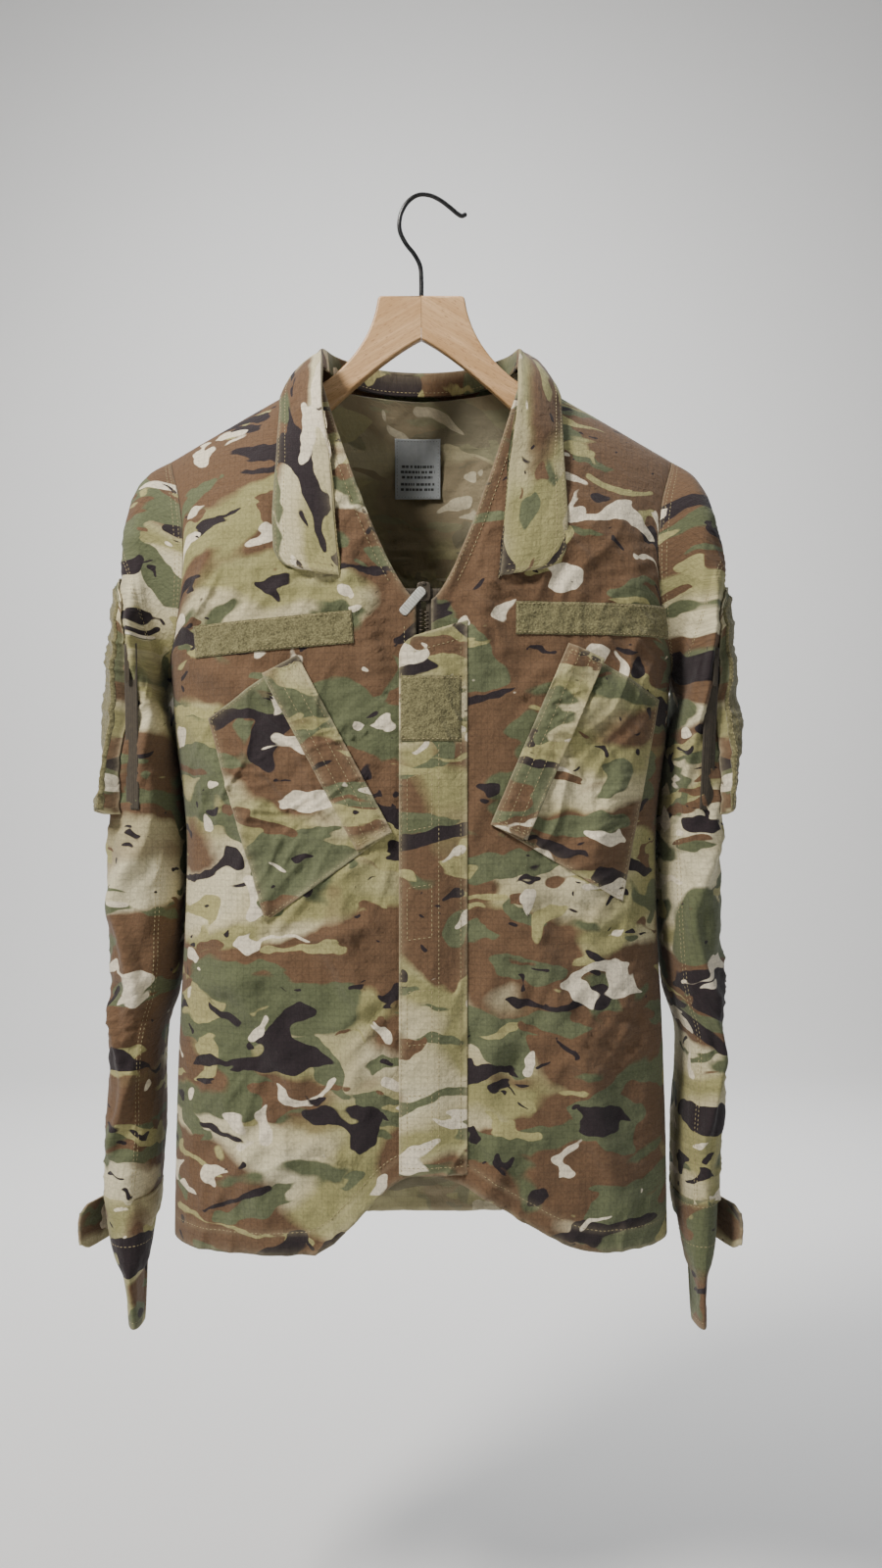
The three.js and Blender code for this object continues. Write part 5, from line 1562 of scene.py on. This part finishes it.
def stitch_fly():
    """Rows on the fly: its free edge, its hinge, and the rectangles that hold the fastening tapes behind
    it."""
    def rise(u, v):
        return fly_lift(u, v) + 1.42

    def rectangle(u0, u1, z0, z1):
        v0, v1 = (FLY_TOP - z0) / FLY_LONG, (FLY_TOP - z1) / FLY_LONG
        return [((u0, v0), (u1, v0)), ((u1, v0), (u1, v1)), ((u1, v1), (u0, v1)), ((u0, v1), (u0, v0))]

    rows = [((0.965, 0.06), (0.965, 0.995)), ((0.10, 0.01), (0.10, 0.99)), ((0.42, 0.21), (0.42, 0.99)),
            ((0.05, 0.985), (0.95, 0.985)), ((0.12, 0.03), (0.8, 0.03))]
    for top, bottom in ((-490, -531), (-575, -615), (-655, -696), (-735, -776)):
        rows += rectangle(0.52, 0.88, top, bottom)
    stitched("stitching_fly", patch_rows(FLY, rows, rise), "fly", "cloth")
    runs = []
    for path in inset_loop(((35.2, -411.3), (35.2, -461.5), (-15.4, -411.3), (-15.4, -461.5)), 1.6):
        x, z = path[:, 0], path[:, 1]
        rise = fly_lift((FLY_SEWN - x) / FLY_WIDE, (FLY_TOP - z) / FLY_LONG) + 2.7
        runs.append((front_at(x, z, rise), FRONT_UP))
    stitched("stitching_rank_loop", runs, "fly", "loop_pile")


def sleeve_rows(side, rows, lift):
    """Rows on a sleeve between (ring, angle) pairs, facing straight out from it."""
    made = []
    for (r0, a0), (r1, a1) in rows:
        ring, angle = np.linspace(r0, r1, 140), np.linspace(a0, a1, 140)
        rise = lift(ring, angle) if callable(lift) else lift
        points = sleeve_at(side, ring, angle, rise)
        away = sleeve_at(side, ring, angle, rise + 4) - points
        made.append((points, away))
    return made


def stitch_sleeves():
    """Rows on the sleeves: the armhole's two, the seam down the forearm, the pocket, the elbow, cuff and
    tab."""
    for side in ("right", "left"):
        sign = -1 if side == "right" else 1
        full = 2 * np.pi
        runs = sleeve_rows(side, [((0.16, 0), (0.16, full)), ((0.3, 0), (0.3, full))], 0.1)
        runs += sleeve_rows(side, [((1.9, -2.3), (2.75, -0.7)), ((2.02, -2.3), (2.87, -0.7))], 0.1)
        runs += sleeve_rows(side, [((6.3, 4.05), (10.9, 4.3)), ((6.3, 4.16), (10.9, 4.41))], 0.1)
        runs += sleeve_rows(side, [((6.3, 2.25), (10.9, 2.1)), ((6.3, 2.14), (10.9, 1.99))], 0.1)
        runs += sleeve_rows(side, [((6.76, 0.54), (9.14, 0.54)), ((9.14, 0.54), (9.14, 1.86)),
                                   ((9.14, 1.86), (6.76, 1.86)), ((6.76, 1.86), (6.76, 0.54))], 1.5)

        def stand(ring, angle, side=side):
            return pocket_stand(side, ring, angle) + 3.0

        runs += sleeve_rows(side, [((3.54, -0.82), (5.91, -0.82)), ((5.91, -0.82), (5.91, 1.11)),
                                   ((5.91, 1.11), (3.54, 1.11)), ((3.54, 1.11), (3.54, -0.82))], stand)
        angle = np.linspace(0, full, 200)
        for v, lift in ((0.05, 0.1), (0.36, 0.1), (0.95, 0.6)):
            points = cuff_at(side, angle, v, lift)
            runs.append((points, cuff_at(side, angle, v, lift + 4) - points))
        stitched(f"stitching_sleeve_{side}", runs, "coat", "cloth")
        runs = []
        for (u0, v0), (u1, v1) in (((0.04, 0.08), (0.97, 0.08)), ((0.97, 0.08), (0.97, 0.92)),
                                   ((0.97, 0.92), (0.04, 0.92)), ((0.07, 0.92), (0.07, 0.08)),
                                   ((0.14, 0.1), (0.14, 0.9))):
            u, v = np.linspace(u0, u1, 60), np.linspace(v0, v1, 60)
            runs.append((tab_at(side, u, v, 2.05), (sign, -0.2, 0)))
        stitched(f"stitching_tab_{side}", runs, f"cuff_tab_{side}", "cloth")


def stitch_back():
    """Rows on the back: the yoke's pair, the pleats, and the hem."""
    runs = []
    x = np.linspace(-188, 188, 260)
    for z in (-240.5, -246.8):
        runs.append((back_at(x, np.full(260, z), 0.85), (0, 1, 0)))
    x = np.linspace(-196, 196, 260)
    runs.append((back_at(x, np.full(260, BACK_HEM_Z + 17.5), 0.6), (0, 1, 0)))
    z = np.linspace(-262, -560, 160)
    for sign in (-1, 1):
        x = sign * (mix(150, 138, smooth(-z, 240, 560)) + 3.2)
        runs.append((back_at(x, z, 1.75), (0, 1, 0)))
    stitched("stitching_back", runs, "coat", "cloth")


def stitch_collar():
    """Two rows round the collar's edge and one along the foot of its stand."""
    runs = []
    for inset in (2.0, 7.0):
        share = 1 - inset / 52
        points, run, out = collar_surface([share, 1.0], 300)
        inside = (run > inset + 1) & (run < run[-1] - inset - 1)
        runs.append((points[inside, 0] + out[inside] * 0.1, out[inside]))
        for end in (0, -1):
            index = int(np.argmin(np.abs((run if end == 0 else run[-1] - run) - inset - 1)))
            across, _, outs = collar_surface(np.linspace(0.36, share, 60), 300)
            runs.append((across[index] + outs[index] * 0.1, outs[index]))
    points, _, out = collar_surface([0.05, 0.06], 300)
    runs.append((points[:, 0] - out * 0.1, -out))
    stitched("stitching_collar", runs, "coat", "cloth")


def stitch_label():
    """The row that holds the neck label, just inside its edge."""
    runs = []
    for path in (line_xz((-22, -195), (-22, -242)), line_xz((-22, -242), (14, -242)),
                 line_xz((14, -242), (14, -195)), line_xz((14, -195), (-22, -195))):
        u, v = (path[:, 0] + 24) / 40, (-193 - path[:, 1]) / 51
        y = body_depth(path[:, 0], path[:, 1], 1) - 3.05 + 0.5 * noise(u * 2.2, v * 2.4, 61)
        runs.append((np.stack([path[:, 0], y - 0.05, path[:, 1]], -1), FRONT_UP))
    stitched("stitching_label", runs, "coat", "label", 0.7, 0.8, 0.45, 0.25, "dark thread")


# ---- stage ----


def make_stage():
    """A pale floor that sweeps up into a wall behind, soft lights, and a level camera in front."""
    turn = np.linspace(0, np.pi / 2, 24)
    profile = np.concatenate([[[-4.5, 0]], np.stack([2.6 + 0.9 * np.sin(turn), 0.9 - 0.9 * np.cos(turn)], -1),
                              [[3.5, 4.2]]])
    x = np.linspace(-5, 5, 2)
    points = np.stack([np.broadcast_to(x, (len(profile), 2)), np.repeat(profile[:, :1], 2, 1),
                       np.repeat(profile[:, 1:] - 1.25, 2, 1)], -1)
    index = np.arange(len(profile) * 2).reshape(-1, 2)
    quads = np.stack([index[:-1, 0], index[:-1, 1], index[1:, 1], index[1:, 0]], -1)
    mesh = bpy.data.meshes.new("floor")
    mesh.from_pydata(points.reshape(-1, 3).tolist(), [], quads.tolist())
    mesh.polygons.foreach_set("use_smooth", np.ones(len(quads), bool))
    material, _, shader = new_material("pale matt paint", Roughness=0.95)
    shader.inputs["Base Color"].default_value = linear("#E4E4E3")
    mesh.materials.append(material)
    floor = bpy.data.objects.new("floor", mesh)
    bpy.context.scene.collection.objects.link(floor)

    for name, place_at, aim, size, watts, colour in (
        ("key", (-1.25, -1.35, 1.15), (0.0, 0.0, -0.5), 0.6, 84, "#FFF9F2"),
        ("fill", (1.9, -1.9, 0.2), (0.0, 0.0, -0.55), 1.6, 6, "#F2F6FF"),
        ("top", (0.1, 0.1, 1.5), (0.0, 0.0, -0.3), 1.4, 15, "#FFFFFF"),
        ("rear", (0.9, 2.0, 0.8), (0.0, 0.0, -0.4), 1.4, 16, "#F4F7FF"),
        ("wall", (-0.2, 1.3, 0.9), (0.0, 3.4, -0.6), 1.6, 66, "#FFFFFF"),
    ):
        light = bpy.data.lights.new(name, "AREA")
        light.shape, light.size, light.energy, light.color = "DISK", size, watts, linear(colour)[:3]
        lamp = bpy.data.objects.new(name, light)
        lamp.location = place_at
        way = np.array(aim) - np.array(place_at)
        lamp.rotation_euler = (math.acos(-way[2] / np.linalg.norm(way)), 0,
                               math.atan2(way[1], way[0]) - math.pi / 2)
        bpy.context.scene.collection.objects.link(lamp)
    world = bpy.data.worlds.new("studio")
    world.use_nodes = True
    world.node_tree.nodes["Background"].inputs["Color"].default_value = linear("#E6E8EB")
    world.node_tree.nodes["Background"].inputs["Strength"].default_value = 0.19
    bpy.context.scene.world = world

    lens = bpy.data.cameras.new("camera")
    lens.lens, lens.sensor_width, lens.sensor_fit = 34.34, 36.0, "VERTICAL"
    lens.sensor_height = 36.0
    eye = bpy.data.objects.new("camera", lens)
    eye.location, eye.rotation_euler = (0.0164, -1.25, -0.4947), (math.pi / 2, 0, 0)
    bpy.context.scene.collection.objects.link(eye)
    bpy.context.scene.camera = eye


# ---- operators and panel ----

SIDES = ("right", "left")


class COAT_OT_stage(bpy.types.Operator):
    """Adds the floor, the lights and the camera"""

    bl_idname = "field_coat.stage"
    bl_label = "Stage"

    def execute(self, context):
        make_stage()
        return {"FINISHED"}


class COAT_OT_hanger(bpy.types.Operator):
    """Adds the hanger's two boards and its hook"""

    bl_idname = "field_coat.hanger"
    bl_label = "Hanger"

    def execute(self, context):
        for side in SIDES:
            make_hanger_half(side)
        make_hook()
        return {"FINISHED"}


class COAT_OT_body(bpy.types.Operator):
    """Adds the two fronts and the back"""

    bl_idname = "field_coat.body"
    bl_label = "Fronts and back"

    def execute(self, context):
        for side in SIDES:
            make_front(side)
        make_back()
        return {"FINISHED"}


class COAT_OT_sleeves(bpy.types.Operator):
    """Adds the sleeves, their cuffs and their elbow layers"""

    bl_idname = "field_coat.sleeves"
    bl_label = "Sleeves"

    def execute(self, context):
        for side in SIDES:
            make_sleeve(side)
            make_cuff(side)
            make_elbow(side)
        return {"FINISHED"}


class COAT_OT_collar(bpy.types.Operator):
    """Adds the collar and the neck label"""

    bl_idname = "field_coat.collar"
    bl_label = "Collar and label"

    def execute(self, context):
        make_collar()
        make_label()
        return {"FINISHED"}


class COAT_OT_chest(bpy.types.Operator):
    """Adds the chest pockets, their flaps and the name tapes"""

    bl_idname = "field_coat.chest"
    bl_label = "Chest pockets"

    def execute(self, context):
        for side in SIDES:
            make_chest_pocket(side)
            make_name_tape(side)
        return {"FINISHED"}


class COAT_OT_zip(bpy.types.Operator):
    """Adds the main zip with its placket, slider and pull"""

    bl_idname = "field_coat.zip"
    bl_label = "Zip"

    def execute(self, context):
        make_zip_tapes()
        make_zip_slider()
        return {"FINISHED"}


class COAT_OT_fly(bpy.types.Operator):
    """Adds the fly over the zip and the patch field on it"""

    bl_idname = "field_coat.fly"
    bl_label = "Fly"

    def execute(self, context):
        make_fly()
        return {"FINISHED"}


class COAT_OT_sleeve_pockets(bpy.types.Operator):
    """Adds the sleeve pockets with their patch fields and zips"""

    bl_idname = "field_coat.sleeve_pockets"
    bl_label = "Sleeve pockets"

    def execute(self, context):
        for side in SIDES:
            make_sleeve_pocket(side)
            make_sleeve_zip(side)
        return {"FINISHED"}


class COAT_OT_cuff_tabs(bpy.types.Operator):
    """Adds the tabs that close the cuffs"""

    bl_idname = "field_coat.cuff_tabs"
    bl_label = "Cuff tabs"

    def execute(self, context):
        for side in SIDES:
            make_cuff_tab(side)
        return {"FINISHED"}


class COAT_OT_stitching(bpy.types.Operator):
    """Adds every row of stitches"""

    bl_idname = "field_coat.stitching"
    bl_label = "Stitching"

    def execute(self, context):
        stitch_fronts()
        stitch_fly()
        stitch_sleeves()
        stitch_back()
        stitch_collar()
        stitch_label()
        return {"FINISHED"}


OPERATORS = (COAT_OT_stage, COAT_OT_hanger, COAT_OT_body, COAT_OT_sleeves, COAT_OT_collar, COAT_OT_chest,
             COAT_OT_zip, COAT_OT_fly, COAT_OT_sleeve_pockets, COAT_OT_cuff_tabs, COAT_OT_stitching)


class COAT_PT_panel(bpy.types.Panel):
    """Colours, sizes and pieces of the coat"""

    bl_idname = "COAT_PT_panel"
    bl_label = "Field Coat"
    bl_space_type = "VIEW_3D"
    bl_region_type = "UI"
    bl_category = "Coat"

    def draw(self, context):
        for group in (context.scene.coat_colours, context.scene.coat_sizes):
            for name in group.bl_rna.properties.keys():
                if name not in ("rna_type", "name"):
                    self.layout.prop(group, name)
        for each in OPERATORS:
            self.layout.operator(each.bl_idname)


CLASSES = (CoatColours, CoatSizes, *OPERATORS, COAT_PT_panel)


def register():
    for each in CLASSES:
        bpy.utils.register_class(each)
    bpy.types.Scene.coat_colours = bpy.props.PointerProperty(type=CoatColours)
    bpy.types.Scene.coat_sizes = bpy.props.PointerProperty(type=CoatSizes)


def unregister():
    del bpy.types.Scene.coat_sizes
    del bpy.types.Scene.coat_colours
    for each in reversed(CLASSES):
        bpy.utils.unregister_class(each)


def main():
    register()
    for each in OPERATORS:
        group, name = each.bl_idname.split(".")
        getattr(getattr(bpy.ops, group), name)()


if __name__ == "__main__":
    main()
